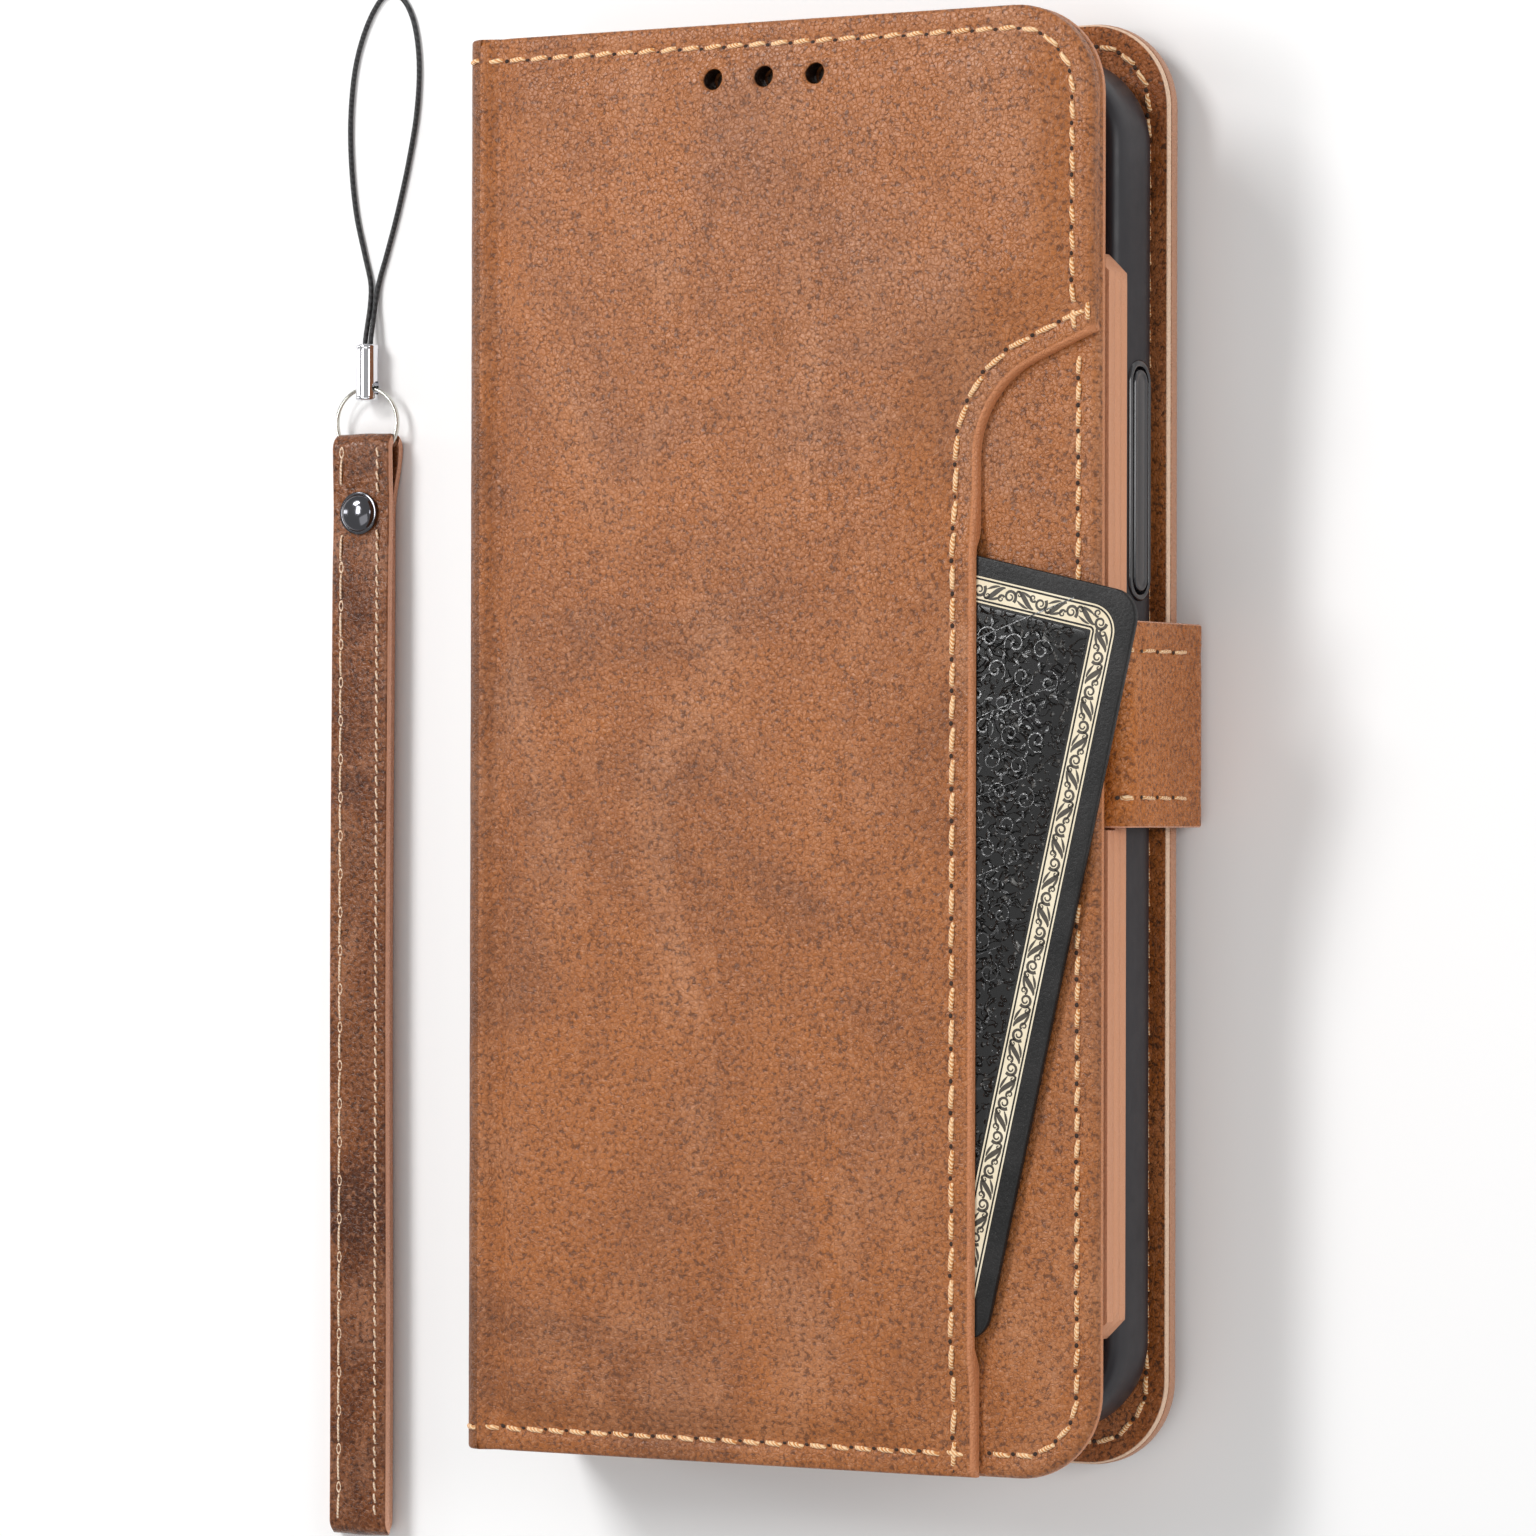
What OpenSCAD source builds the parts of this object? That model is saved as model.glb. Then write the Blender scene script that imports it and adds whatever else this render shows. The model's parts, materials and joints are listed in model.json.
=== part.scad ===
// Folding phone wallet case with a card pocket, a wrap-round clasp and a wrist strap.
// The case lies on its back with the front cover up. -X is the spine, +X the opening
// side, +Y the top end. The wrist strap lies beside it on the same surface, z = 0.

/* [Case] */
// Width over the closed case, without the clasp
case_w = 81; // [74:0.2:97.2]
// Height of both covers
case_h = 164; // [150:0.2:196.8]
// Radius of the two corners on the opening side
corner_r = 10; // [5:0.5:14]
// Space between the phone tray and the card panels above it
cover_gap = 0.5; // [0.4:0.1:3]

/* [Back cover] */
// Thickness of its outer leather
back_leather_t = 1; // [0.8:0.1:1.6]
// Thickness of its stiffening board
back_board_t = 1.2; // [1.2:0.1:2]
// Thickness of its lining
back_lining_t = 0.8; // [0.5:0.1:1.4]
// Width of the camera window
window_w = 21; // [8:0.5:30]
// Length of the camera window
window_h = 35; // [8:0.5:45]
// Radius of the window's corners
window_r = 4; // [1:0.5:4]
// Distance of the window's middle from the middle line of the case
window_x = 21; // [8:0.5:22]
// Distance of the window's middle from the top end
window_from_top = 29; // [29:0.5:60]

/* [Phone tray] */
// Width of the phone that it holds
phone_w = 74; // [66:0.5:74]
// Height of the phone
phone_h = 152.6; // [130:0.2:152.6]
// Thickness of the phone
phone_t = 8; // [7:0.1:10]
// Corner radius of the phone
phone_r = 9; // [6:0.5:12]
// Play round the phone
phone_gap = 0.2; // [0.1:0.05:0.5]
// Thickness of the tray's side wall
tray_wall = 1.4; // [1.2:0.1:1.6]
// Thickness of the tray's floor
tray_floor = 1.2; // [1:0.1:2]
// Height of the lip over the phone's edge
lip_t = 1; // [0.8:0.1:1.6]
// How far the lip reaches over the phone
lip_w = 0.8; // [0.4:0.1:1.5]
// How far the tray's underside is drawn in at its edge
foot_inset = 1.8; // [1:0.1:2.2]

/* [Side buttons] */
// Length of the volume cover
volume_l = 25; // [16:0.5:30]
// Distance of its middle from the middle of the case
volume_y = 29.5; // [24:0.5:36]
// Length of the power cover
power_l = 10; // [8:0.5:14]
// Distance of its middle from the middle of the case
power_y = 2; // [-4:0.5:4]
// Width of both covers across the wall
button_w = 3.4; // [2.5:0.1:4.5]
// How far they stand out of the wall
button_out = 0.4; // [0.3:0.1:0.6]
// How far they can be pressed in
button_travel = 0.4; // [0.2:0.1:0.6]

/* [Spine] */
// Radius of the rolled edges that it folds on
roll_r = 2; // [1.6:0.1:2.5]
// Thickness of its leather
spine_leather_t = 1.1; // [0.8:0.1:1.4]

/* [Front cover] */
// Thickness of its base leather
base_leather_t = 1; // [0.8:0.1:1.6]
// Thickness of its stiffening board
front_board_t = 0.8; // [0.6:0.1:1.6]
// Thickness of its lining
front_lining_t = 0.6; // [0.4:0.1:1.2]
// Thickness of the pocket's leather
pocket_leather_t = 1; // [0.8:0.1:2]
// Distance of the pocket's edge from the opening side
pocket_inset = 14.6; // [8:0.2:22]
// Height at which the pocket's edge runs out into the opening side
pocket_rise_y = 45.5; // [42:0.5:55]
// Slope of the pocket's edge there, in degrees
pocket_slope = 23; // [10:1:35]
// Radius of the bend in the pocket's edge
pocket_bend_r = 11.6; // [6:0.2:16]
// Diameter of the three sound holes
sound_d = 2.3; // [1.5:0.1:3]
// Distance between the sound holes
sound_pitch = 6.6; // [4:0.1:9]
// Distance of the sound holes from the top end
sound_from_top = 6.4; // [5:0.1:9]

/* [Card panels] */
// Thickness of each of the three panels
panel_t = 1.6; // [1.5:0.1:2]
// Height of the panels
panel_h = 121; // [115:1:130]
// Distance of their middle below the middle of the case
panel_drop = 6; // [4:0.5:8]
// Height of a card slot's mouth
slot_w = 1.6; // [1.2:0.1:2.5]
// Distance between the mouths of two slots
slot_step = 16; // [12:0.5:17]

/* [Card] */
// Length of the card
card_l = 85.6; // [85:0.1:86]
// Width of the card
card_w = 54; // [53.5:0.1:54.5]
// Thickness of the card
card_t = 0.76; // [0.7:0.02:0.9]
// Radius of its corners
card_r = 3.2; // [2.5:0.1:3.5]
// Play over and under a card
card_gap = 0.1; // [0.08:0.01:0.3]
// Lean of the card in the outer pocket, in degrees
card_lean = 13; // [8:0.5:15]
// How far the card can be pushed in from where it stands
card_in = 4; // [0:0.5:5]
// How far the card can be drawn out
card_out = 40; // [30:1:50]

/* [Clasp] */
// Width of the clasp strap
clasp_w = 23; // [16:0.5:26]
// Thickness of the clasp strap and of its tab
clasp_t = 1.6; // [1.6:0.1:2]
// Height of its middle over the middle of the case
clasp_y = 2; // [-4:0.5:4]
// Space between the covers' edge and the strap
clasp_gap = 1; // [0.8:0.1:2]
// Length of the tab under the back cover
tab_l = 20; // [14:0.5:26]
// Length of the part sewn into the front cover
root_l = 9; // [6:0.5:12]
// Length and width of the magnet in the tab
magnet_w = 12; // [8:0.5:13]
// Thickness of the magnet
magnet_t = 0.7; // [0.5:0.1:0.8]

/* [Stitching] */
// Length of one stitch
stitch_l = 2; // [1.4:0.1:2.4]
// Distance from stitch to stitch
stitch_pitch = 2.9; // [2.6:0.1:4]
// Width of the thread
thread_w = 0.5; // [0.3:0.05:0.8]
// Height of the thread over the leather, on which the card in the outer pocket rests
thread_t = 0.25; // [0.2:0.05:0.4]
// Distance of a row from the edge
stitch_inset = 2.6; // [2.2:0.1:3.2]

/* [Wrist strap] */
// Width of the strap
wrist_w = 8; // [6:0.5:12]
// Length of the folded strap
wrist_l = 133.6; // [90:0.2:180]
// Thickness of one layer
wrist_layer_t = 1.3; // [1:0.1:1.8]
// Space between its two layers
wrist_gap = 1.3; // [1.3:0.1:2]
// Distance of its middle line from the middle line of the case
wrist_x = 67; // [67:0.5:80]
// Height of its top end over the middle of the case
wrist_top_y = 38; // [20:0.5:50]
// Distance of the rivet from the strap's top end
rivet_from_top = 9.8; // [8:0.2:14]
// Diameter of the rivet's head
rivet_d = 5.2; // [4:0.1:6]
// Height of the rivet's head
rivet_head_t = 1.1; // [0.8:0.1:1.2]
// Diameter of the rivet's post
rivet_post_d = 2; // [1.5:0.1:2.5]
// Outer diameter of the ring
ring_d = 9.4; // [9:0.2:10.4]
// Diameter of the ring's wire
ring_wire_d = 0.9; // [0.7:0.05:1]
// Outer diameter of the cord's sleeve
sleeve_d = 2.8; // [2.8:0.1:3.4]
// Length of the sleeve
sleeve_l = 6.8; // [6:0.2:9]
// Thickness of the cord
cord_d = 0.6; // [0.5:0.05:0.7]

/* [Hidden] */
$fn = 48;
eps = 0.01;
joint_gap = 0.3;
x_left = -case_w / 2;
x_right = case_w / 2;
y_top = case_h / 2;

// levels of the layers, from the back cover's outer face upward
z_back_board = back_leather_t;
z_back_lining = z_back_board + back_board_t;
z_tray = z_back_lining + back_lining_t;
z_phone = z_tray + tray_floor;
z_lip = z_phone + phone_t;
z_tray_top = z_lip + lip_t;
z_panels = z_tray_top + cover_gap;
panel_count = 3;
z_front_lining = z_panels + panel_count * panel_t;
z_front_board = z_front_lining + front_lining_t;
z_base = z_front_board + front_board_t;
z_base_top = z_base + base_leather_t;
card_space = card_t + 2 * card_gap;
z_card = z_base_top + thread_t + card_gap;
z_pocket_in = z_card + card_t + card_gap;
z_top = z_pocket_in + pocket_leather_t;

// fold lines of the spine
fold_x = x_left + roll_r;
back_fold_z = roll_r;
front_fold_z = z_top - roll_r;
cover_x = fold_x + joint_gap;

// phone tray
tray_w = phone_w + 2 * (phone_gap + tray_wall);
tray_h = phone_h + 2 * (phone_gap + tray_wall);
tray_x = 0.7;
tray_side = tray_x + tray_w / 2;
button_z = z_phone + phone_t / 2;
button_gap = 0.35;
keyhole_t = 0.6;

// card in the outer pocket
card_mid = [10.2, -19.5];
card_far = 70;

// card panels
panel_x = cover_x + 4.5;
panel_mid = (panel_x + x_right) / 2;
panel_top = panel_h / 2 - panel_drop;
slot_margin = 2;
slot_card_w = card_w + 1.4;

// clasp
clasp_r = clasp_t / 2;
clasp_x = x_right + clasp_gap + clasp_r;
clasp_top_z = z_front_lining - clasp_r;
clasp_low_z = -joint_gap - clasp_r;
skin_t = clasp_t / 2;
tab_in_x = clasp_x - tab_l;
plate_t = 0.8;
plate_x = x_right - 3.5 - magnet_w;

// the closed case rests on its spine's lower roll and on the inner end of the tab
rest_dx = tab_in_x - fold_x;
rest_dz = -joint_gap - clasp_t - back_fold_z;
lay_a = -atan2(rest_dz, rest_dx) - asin(roll_r / norm([rest_dx, rest_dz]));
lay_up = (joint_gap + clasp_t) * cos(lay_a) - tab_in_x * sin(lay_a);

// wrist strap
wrist_t = 2 * wrist_layer_t + wrist_gap;
wrist_end_r = wrist_t / 2;
ring_r = (ring_d - ring_wire_d) / 2;
ring_y = wrist_top_y + 1.2;
ring_z = wrist_t / 2;
sleeve_y = ring_y + ring_r - 1.5;
sleeve_z = ring_z;
sleeve_bore_d = 1.5;
wire_gap = 0.35;
notch_gap = 0.3;

// the cord leaves the sleeve, runs round its loop and comes back beside itself
cord_points = [
    [-0.38, 2.7, 0], [-0.38, 6.8, -0.1], [-0.36, 9.5, -0.7], [-0.36, 12, -1.3],
    [-0.5, 14.5, -1.55], [-1.4, 18, -1.6], [-2.6, 23, -1.6], [-3.3, 29, -1.6],
    [-3.4, 35, -1.6], [-2.7, 41, -1.6], [-1, 46, -1.6], [1.3, 49.2, -1.6],
    [3.6, 49, -1.6], [5.4, 46, -1.6], [6.2, 41, -1.6], [5.9, 35, -1.6],
    [4.8, 29, -1.6], [3.3, 23, -1.6], [1.8, 18, -1.6], [0.7, 14.5, -1.55],
    [0.36, 12, -1.3], [0.36, 9.5, -0.7], [0.38, 6.8, -0.1], [0.38, 2.7, 0]
];
cord_sides = 8;
cord_steps = 3;

// ---------- shared shapes ----------

// carries the closed case from its own axes to how it lies on the surface
module lay() {
    translate([0, 0, lay_up]) rotate([0, -lay_a, 0]) children();
}

module slab(z, t) {
    translate([0, 0, z]) linear_extrude(t) children();
}

module rod_y(x, z, r, l) {
    translate([x, l / 2, z]) rotate([90, 0, 0]) cylinder(r = r, h = l);
}

// a cover's outline: square at the spine, rounded at the opening side
module cover_2d(x0, x1, h, r) {
    translate([x0, -h / 2]) square([x1 - x0 - r, h]);
    translate([x0, -h / 2 + r]) square([x1 - x0, h - 2 * r]);
    for (s = [-1, 1]) {
        translate([x1 - r, s * (h / 2 - r)]) circle(r);
    }
}

module rounded_2d(w, h, r) {
    square([w - 2 * r, h], center = true);
    square([w, h - 2 * r], center = true);
    for (sx = [-1, 1], sy = [-1, 1]) {
        translate([sx * (w / 2 - r), sy * (h / 2 - r)]) circle(r);
    }
}

module window_2d(extra) {
    translate([window_x, y_top - window_from_top])
        rounded_2d(window_w + 2 * extra, window_h + 2 * extra, window_r + extra);
}

module fold_cut(z) {
    rod_y(fold_x, z, roll_r + joint_gap, case_h + 2);
}

// one stitch lying on a face at height z
module stitch(x, y, z, a, l) {
    translate([x, y, z + thread_t / 2]) rotate([0, 0, a])
        cube([l, thread_w, thread_t], center = true);
}

// stitches at even steps on a straight line
module stitch_line(p, q, z, pitch, l) {
    d = q - p;
    n = floor(norm(d) / pitch);
    a = atan2(d[1], d[0]);
    for (i = [0 : n]) {
        c = p + d * (n > 0 ? i / n : 0.5);
        stitch(c[0], c[1], z, a, l);
    }
}

module stitch_arc(c, r, a0, a1, z, pitch, l) {
    n = max(1, round(abs(a1 - a0) * PI / 180 * r / pitch));
    for (i = [0.5 : n]) {
        a = a0 + (a1 - a0) * i / n;
        stitch(c[0] + r * cos(a), c[1] + r * sin(a), z, a + 90, l);
    }
}

// ---------- back cover ----------

module back_layer(z, t) {
    difference() {
        slab(z, t) difference() {
            cover_2d(cover_x, x_right, case_h, corner_r);
            window_2d(0);
        }
        fold_cut(back_fold_z);
    }
}

module back_leather() {
    color("#7a4f3d") lay() back_layer(0, back_leather_t);
}

module back_board() {
    color("#8c8478") lay() difference() {
        back_layer(z_back_board, back_board_t);
        translate([plate_x, clasp_y, z_back_board + back_board_t / 2])
            cube([2 * magnet_w, clasp_w, back_board_t + 2 * eps], center = true);
    }
}

// the plate that the clasp's magnet holds on to, let into the board
module steel_plate() {
    color("#9aa0a6") lay()
        translate([plate_x, clasp_y, z_back_board + plate_t / 2])
            cube([2 * magnet_w - joint_gap, clasp_w - joint_gap, plate_t], center = true);
}

module back_lining() {
    color("#4a2c22") lay() back_layer(z_back_lining, back_lining_t);
}

module back_stitching() {
    e = stitch_inset;
    r = corner_r - e;
    color("#d9a06c") lay() {
        for (s = [-1, 1]) {
            stitch_line([cover_x + 4, s * (y_top - e)], [x_right - corner_r - 1, s * (y_top - e)],
                z_tray, stitch_pitch, stitch_l);
            stitch_arc([x_right - corner_r, s * (y_top - corner_r)], r, s * 10, s * 80,
                z_tray, stitch_pitch, stitch_l);
        }
        stitch_line([x_right - e, corner_r + 1 - y_top], [x_right - e, y_top - corner_r - 1],
            z_tray, stitch_pitch, stitch_l);
    }
}

// ---------- phone tray and its button covers ----------

module tray_2d(inset) {
    translate([tray_x, 0])
        rounded_2d(tray_w - 2 * inset, tray_h - 2 * inset,
            phone_r + phone_gap + tray_wall - inset);
}

module phone_tray() {
    ends = tray_h / 2;
    color("#1b1b1d") lay() difference() {
        union() {
            slab(z_tray, tray_floor) tray_2d(foot_inset);
            slab(z_tray + tray_floor / 2, z_tray_top - z_tray - tray_floor / 2) tray_2d(0);
        }
        slab(z_phone, phone_t) tray_2d(tray_wall);
        slab(z_lip - eps, lip_t + 2 * eps) tray_2d(tray_wall + lip_w + phone_gap);
        slab(z_tray - eps, tray_floor + 2 * eps) window_2d(-0.5);
        // charging socket, speaker and microphone at the bottom end
        translate([tray_x, -ends, button_z]) cube([13, 4 * tray_wall, 5], center = true);
        for (i = [-3 : 3]) {
            if (abs(i) > 1) {
                translate([tray_x + i * 6, -ends - 2 * tray_wall, button_z]) rotate([-90, 0, 0])
                    cylinder(d = 1.6, h = 4 * tray_wall);
            }
        }
        translate([tray_x, ends - 2 * tray_wall, button_z]) rotate([-90, 0, 0])
            cylinder(d = 1.6, h = 4 * tray_wall);
        button_window(volume_y, volume_l);
        button_window(power_y, power_l);
        fold_cut(back_fold_z);
    }
}

module button_window(y, l) {
    translate([tray_side, y, button_z])
        cube([4 * tray_wall, l + 2 * button_gap, button_w + 2 * button_gap], center = true);
}

module button_cover(y, l) {
    t = tray_wall - keyhole_t + button_out;
    translate([tray_side + button_out - t, y, button_z]) rotate([90, 0, 90])
        linear_extrude(t) rounded_2d(l, button_w, button_w / 2 - 0.2);
}

module volume_cover() {
    color("#242427") lay() button_cover(volume_y, volume_l);
}

module power_cover() {
    color("#242427") lay() button_cover(power_y, power_l);
}

// ---------- spine ----------

module spine_leather() {
    color("#9a5f43") lay() difference() {
        union() {
            rod_y(fold_x, back_fold_z, roll_r, case_h);
            rod_y(fold_x, front_fold_z, roll_r, case_h);
            translate([x_left, -y_top, back_fold_z])
                cube([spine_leather_t, case_h, front_fold_z - back_fold_z]);
        }
        for (z = [back_fold_z, front_fold_z]) {
            rod_y(fold_x, z, roll_r - spine_leather_t, case_h + 2);
        }
    }
}

module spine_lining() {
    z0 = back_fold_z + roll_r;
    color("#4a2c22") lay()
        translate([x_left + spine_leather_t, -y_top, z0])
            cube([roll_r - spine_leather_t, case_h, front_fold_z - roll_r - z0]);
}

// ---------- front cover ----------

// region to the right of the pocket's edge; grow moves the edge to the left
module pocket_cut_2d(grow) {
    edge = x_right - pocket_inset - grow;
    a = pocket_slope;
    r = pocket_bend_r + grow;
    far = corner_r;
    // the straight slope through the point where the edge runs out
    y_edge = pocket_rise_y + grow / cos(a) - pocket_inset * tan(a) - grow * tan(a);
    turn = 90 - a;
    t = r * tan(turn / 2);
    c = [edge + r, y_edge - t];
    arc = [for (i = [0 : 12]) c + r * [cos(180 - turn * i / 12), sin(180 - turn * i / 12)]];
    polygon(concat(
        [[edge, -case_h]],
        arc,
        [[x_right + far, y_edge + (pocket_inset + grow + far) * tan(a)], [x_right + far, -case_h]]
    ));
}

module front_layer(z, t) {
    difference() {
        slab(z, t) difference() {
            cover_2d(cover_x, x_right, case_h, corner_r);
            sound_2d(0);
        }
        fold_cut(front_fold_z);
    }
}

module sound_2d(extra) {
    for (i = [-1 : 1]) {
        translate([i * sound_pitch - 0.7, y_top - sound_from_top]) circle(d = sound_d + extra);
    }
}

module front_base() {
    color("#8b5a45") lay() front_layer(z_base, base_leather_t);
}

module front_board() {
    color("#8c8478") lay() front_layer(z_front_board, front_board_t);
}

module front_lining() {
    color("#c98f74") lay() front_layer(z_front_lining, front_lining_t);
}

// the space in which the card slides, as far as it can be pushed in
module card_space_2d(gap) {
    translate(card_mid) rotate(-card_lean)
        translate([-card_w / 2 - card_in - gap, -card_l / 2 - gap])
            square([card_w + card_in + card_far, card_l + 2 * gap]);
}

module front_pocket() {
    color("#8b5a45") lay() difference() {
        slab(z_base_top, z_top - z_base_top) difference() {
            cover_2d(cover_x, x_right, case_h, corner_r);
            pocket_cut_2d(0);
            sound_2d(0);
        }
        slab(z_base_top - eps, z_pocket_in - z_base_top + eps) card_space_2d(joint_gap);
        fold_cut(front_fold_z);
    }
}

// a card panel: a pocket let into its upper side, and mouths that reach the pockets
module panel(level, mouths) {
    z = z_panels + level * panel_t;
    mouth_y = panel_top - slot_margin - slot_step * (panel_count - 1 - level);
    difference() {
        slab(z, panel_t) translate([panel_mid, -panel_drop])
            rounded_2d(x_right - panel_x, panel_h, 3);
        translate([panel_mid - slot_card_w / 2, mouth_y - card_l - 1, z + panel_t - card_space])
            cube([slot_card_w, card_l + 1, card_space + eps]);
        for (k = [0 : mouths - 1]) {
            y = panel_top - slot_margin - slot_step * (panel_count - 1 - level - k);
            translate([panel_mid - slot_card_w / 2, y - slot_w, z - eps])
                cube([slot_card_w, slot_w, panel_t + 2 * eps]);
        }
        translate([x_right - root_l - joint_gap, clasp_y - clasp_w / 2 - joint_gap,
            z_front_lining - clasp_t - joint_gap])
            cube([root_l + 2, clasp_w + 2 * joint_gap, clasp_t + joint_gap + eps]);
    }
}

module cash_panel() {
    color("#d9a184") lay() panel(2, 1);
}

module slot_panel() {
    color("#d9a184") lay() panel(1, 2);
}

module slot_face() {
    color("#d9a184") lay() panel(0, 3);
}

module front_stitching() {
    e = stitch_inset;
    r = corner_r - e;
    turn_x = x_right - corner_r;
    turn_y = y_top - corner_r;
    edge_x = x_right - pocket_inset;
    slope_y = pocket_rise_y - e * tan(pocket_slope);
    color("#d9a06c") lay() {
        stitch_line([cover_x + 3, y_top - e], [turn_x - 1, y_top - e], z_top, stitch_pitch, stitch_l);
        stitch_arc([turn_x, turn_y], r, 10, 80, z_top, stitch_pitch, stitch_l);
        stitch_line([x_right - e, turn_y - 1], [x_right - e, slope_y + 5.5],
            z_top, stitch_pitch, stitch_l);
        stitch_line([x_right - e, slope_y - 2], [x_right - e, 1 - turn_y],
            z_base_top, stitch_pitch, stitch_l);
        stitch_arc([turn_x, -turn_y], r, -10, -80, z_base_top, stitch_pitch, stitch_l);
        stitch_line([edge_x - 1.5, e - y_top], [cover_x + 3, e - y_top],
            z_top, stitch_pitch, stitch_l);
    }
}

// the row along the pocket's edge
module pocket_stitching() {
    e = stitch_inset;
    a = pocket_slope;
    edge = x_right - pocket_inset - e;
    r = pocket_bend_r + e;
    y_edge = pocket_rise_y + e / cos(a) - (pocket_inset + e) * tan(a);
    turn = 90 - a;
    t = r * tan(turn / 2);
    c = [edge + r, y_edge - t];
    low_y = e - y_top + stitch_pitch;
    end_x = x_right - e - 3;
    p = 1.2 * stitch_pitch;
    color("#dd9a52") lay() {
        stitch_line([edge, low_y], [edge, y_edge - t - 1], z_top, p, stitch_l);
        stitch_arc(c, r, 178, 180 - turn + 2, z_top, p, stitch_l);
        stitch_line(
            [edge + t * cos(a) + 1.5, y_edge + t * sin(a) + 1.5 * tan(a)],
            [end_x, y_edge + (end_x - edge) * tan(a)],
            z_top, p, stitch_l);
    }
}

// ---------- card ----------

module card() {
    color("#17130f") lay() translate([0, 0, z_card]) linear_extrude(card_t)
        translate(card_mid) rotate(-card_lean) rounded_2d(card_w, card_l, card_r);
}

// ---------- clasp ----------

// the strap's inner end, sewn between the lining and the first card panel
module clasp_root() {
    color("#8b5a45") lay() difference() {
        translate([x_right - root_l, clasp_y - clasp_w / 2, z_front_lining - clasp_t])
            cube([clasp_x - x_right + root_l, clasp_w, clasp_t]);
        rod_y(clasp_x, clasp_top_z, clasp_r + joint_gap, case_h);
    }
}

module clasp_rod(x, z) {
    translate([0, clasp_y, 0]) rod_y(x, z, clasp_r, clasp_w);
}

module clasp_strap() {
    color("#8b5a45") lay() {
        clasp_rod(clasp_x, clasp_top_z);
        clasp_rod(clasp_x, clasp_low_z);
        translate([clasp_x, clasp_y - clasp_w / 2, clasp_low_z])
            cube([clasp_r, clasp_w, clasp_top_z - clasp_low_z]);
    }
}

module clasp_lining() {
    color("#c98f74") lay()
        translate([clasp_x - skin_t, clasp_y - clasp_w / 2, clasp_low_z + clasp_r])
            cube([skin_t, clasp_w, clasp_top_z - clasp_low_z - 2 * clasp_r]);
}

module clasp_stitching() {
    x = clasp_x + clasp_r + thread_t / 2;
    n = 5;
    pitch = (clasp_top_z - clasp_low_z) / n;
    color("#d9a06c") lay() {
        for (s = [-1, 1], i = [0.5 : n]) {
            translate([x, clasp_y + s * (clasp_w / 2 - stitch_inset - 0.6), clasp_low_z + i * pitch])
                cube([thread_t, thread_w, stitch_l], center = true);
        }
    }
}

module tab_layer(z, t) {
    difference() {
        translate([tab_in_x, clasp_y - clasp_w / 2, z]) cube([tab_l, clasp_w, t]);
        rod_y(clasp_x, clasp_low_z, clasp_r + joint_gap, case_h);
        translate([tab_in_x + magnet_w, clasp_y, clasp_low_z])
            cube([magnet_w + 0.2, magnet_w + 0.2, magnet_t + 0.1], center = true);
    }
}

module clasp_tab() {
    color("#8b5a45") lay() tab_layer(clasp_low_z - clasp_r, skin_t);
}

module clasp_tab_lining() {
    color("#c98f74") lay() tab_layer(clasp_low_z, skin_t);
}

module clasp_magnet() {
    color("#9aa0a6") lay() translate([tab_in_x + magnet_w, clasp_y, clasp_low_z])
        cube([magnet_w, magnet_w, magnet_t], center = true);
}

// ---------- wrist strap ----------

// the folded strap seen from its side, from end to end
module loop_2d(inset) {
    r = wrist_end_r - inset;
    for (y = [wrist_end_r - wrist_l, -wrist_end_r]) {
        translate([y, 0]) circle(r);
    }
    translate([wrist_end_r - wrist_l, -r]) square([wrist_l - 2 * wrist_end_r, 2 * r]);
}

module at_wrist(y, z) {
    translate([-wrist_x, y, z]) children();
}

module wrist_leather() {
    color("#6f4636") difference() {
        at_wrist(wrist_top_y, wrist_end_r) rotate([90, 0, 90])
            translate([0, 0, -wrist_w / 2]) linear_extrude(wrist_w) difference() {
                loop_2d(0);
                loop_2d(wrist_layer_t);
            }
        at_wrist(wrist_top_y - rivet_from_top, -eps)
            cylinder(d = rivet_post_d, h = wrist_t + 2 * eps);
        at_wrist(wrist_top_y - rivet_from_top, -eps)
            cylinder(d = rivet_d - 1, h = wrist_layer_t / 2 + eps);
        // the ring presses a notch into each side of the fold
        at_wrist(ring_y, ring_z) wire_ring(notch_gap);
    }
}

module wrist_rivet() {
    dome_r = (pow(rivet_d / 2, 2) + pow(rivet_head_t, 2)) / (2 * rivet_head_t);
    color("#5b5d66") at_wrist(wrist_top_y - rivet_from_top, 0) {
        cylinder(d = rivet_d - 1, h = wrist_layer_t / 2);
        cylinder(d = rivet_post_d, h = wrist_t + rivet_head_t / 2);
        intersection() {
            translate([0, 0, wrist_t]) cylinder(d = rivet_d, h = rivet_head_t);
            translate([0, 0, wrist_t + rivet_head_t - dome_r]) sphere(dome_r);
        }
    }
}

module wrist_stitching() {
    first = wrist_top_y - rivet_from_top - rivet_d / 2 - 2;
    last = wrist_top_y - wrist_l + wrist_end_r + 1;
    p = 1.6 * stitch_pitch;
    color("#e0b98c") for (s = [-1, 1]) {
        x = s * (wrist_w / 2 - 1.4) - wrist_x;
        stitch_line([x, first], [x, last], wrist_t, p, p - 1);
    }
}

module wire_ring(gap) {
    rotate_extrude() translate([ring_r, 0]) circle(d = ring_wire_d + 2 * gap);
}

module wrist_ring() {
    color("#b9bcc2") at_wrist(ring_y, ring_z) wire_ring(0);
}

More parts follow.
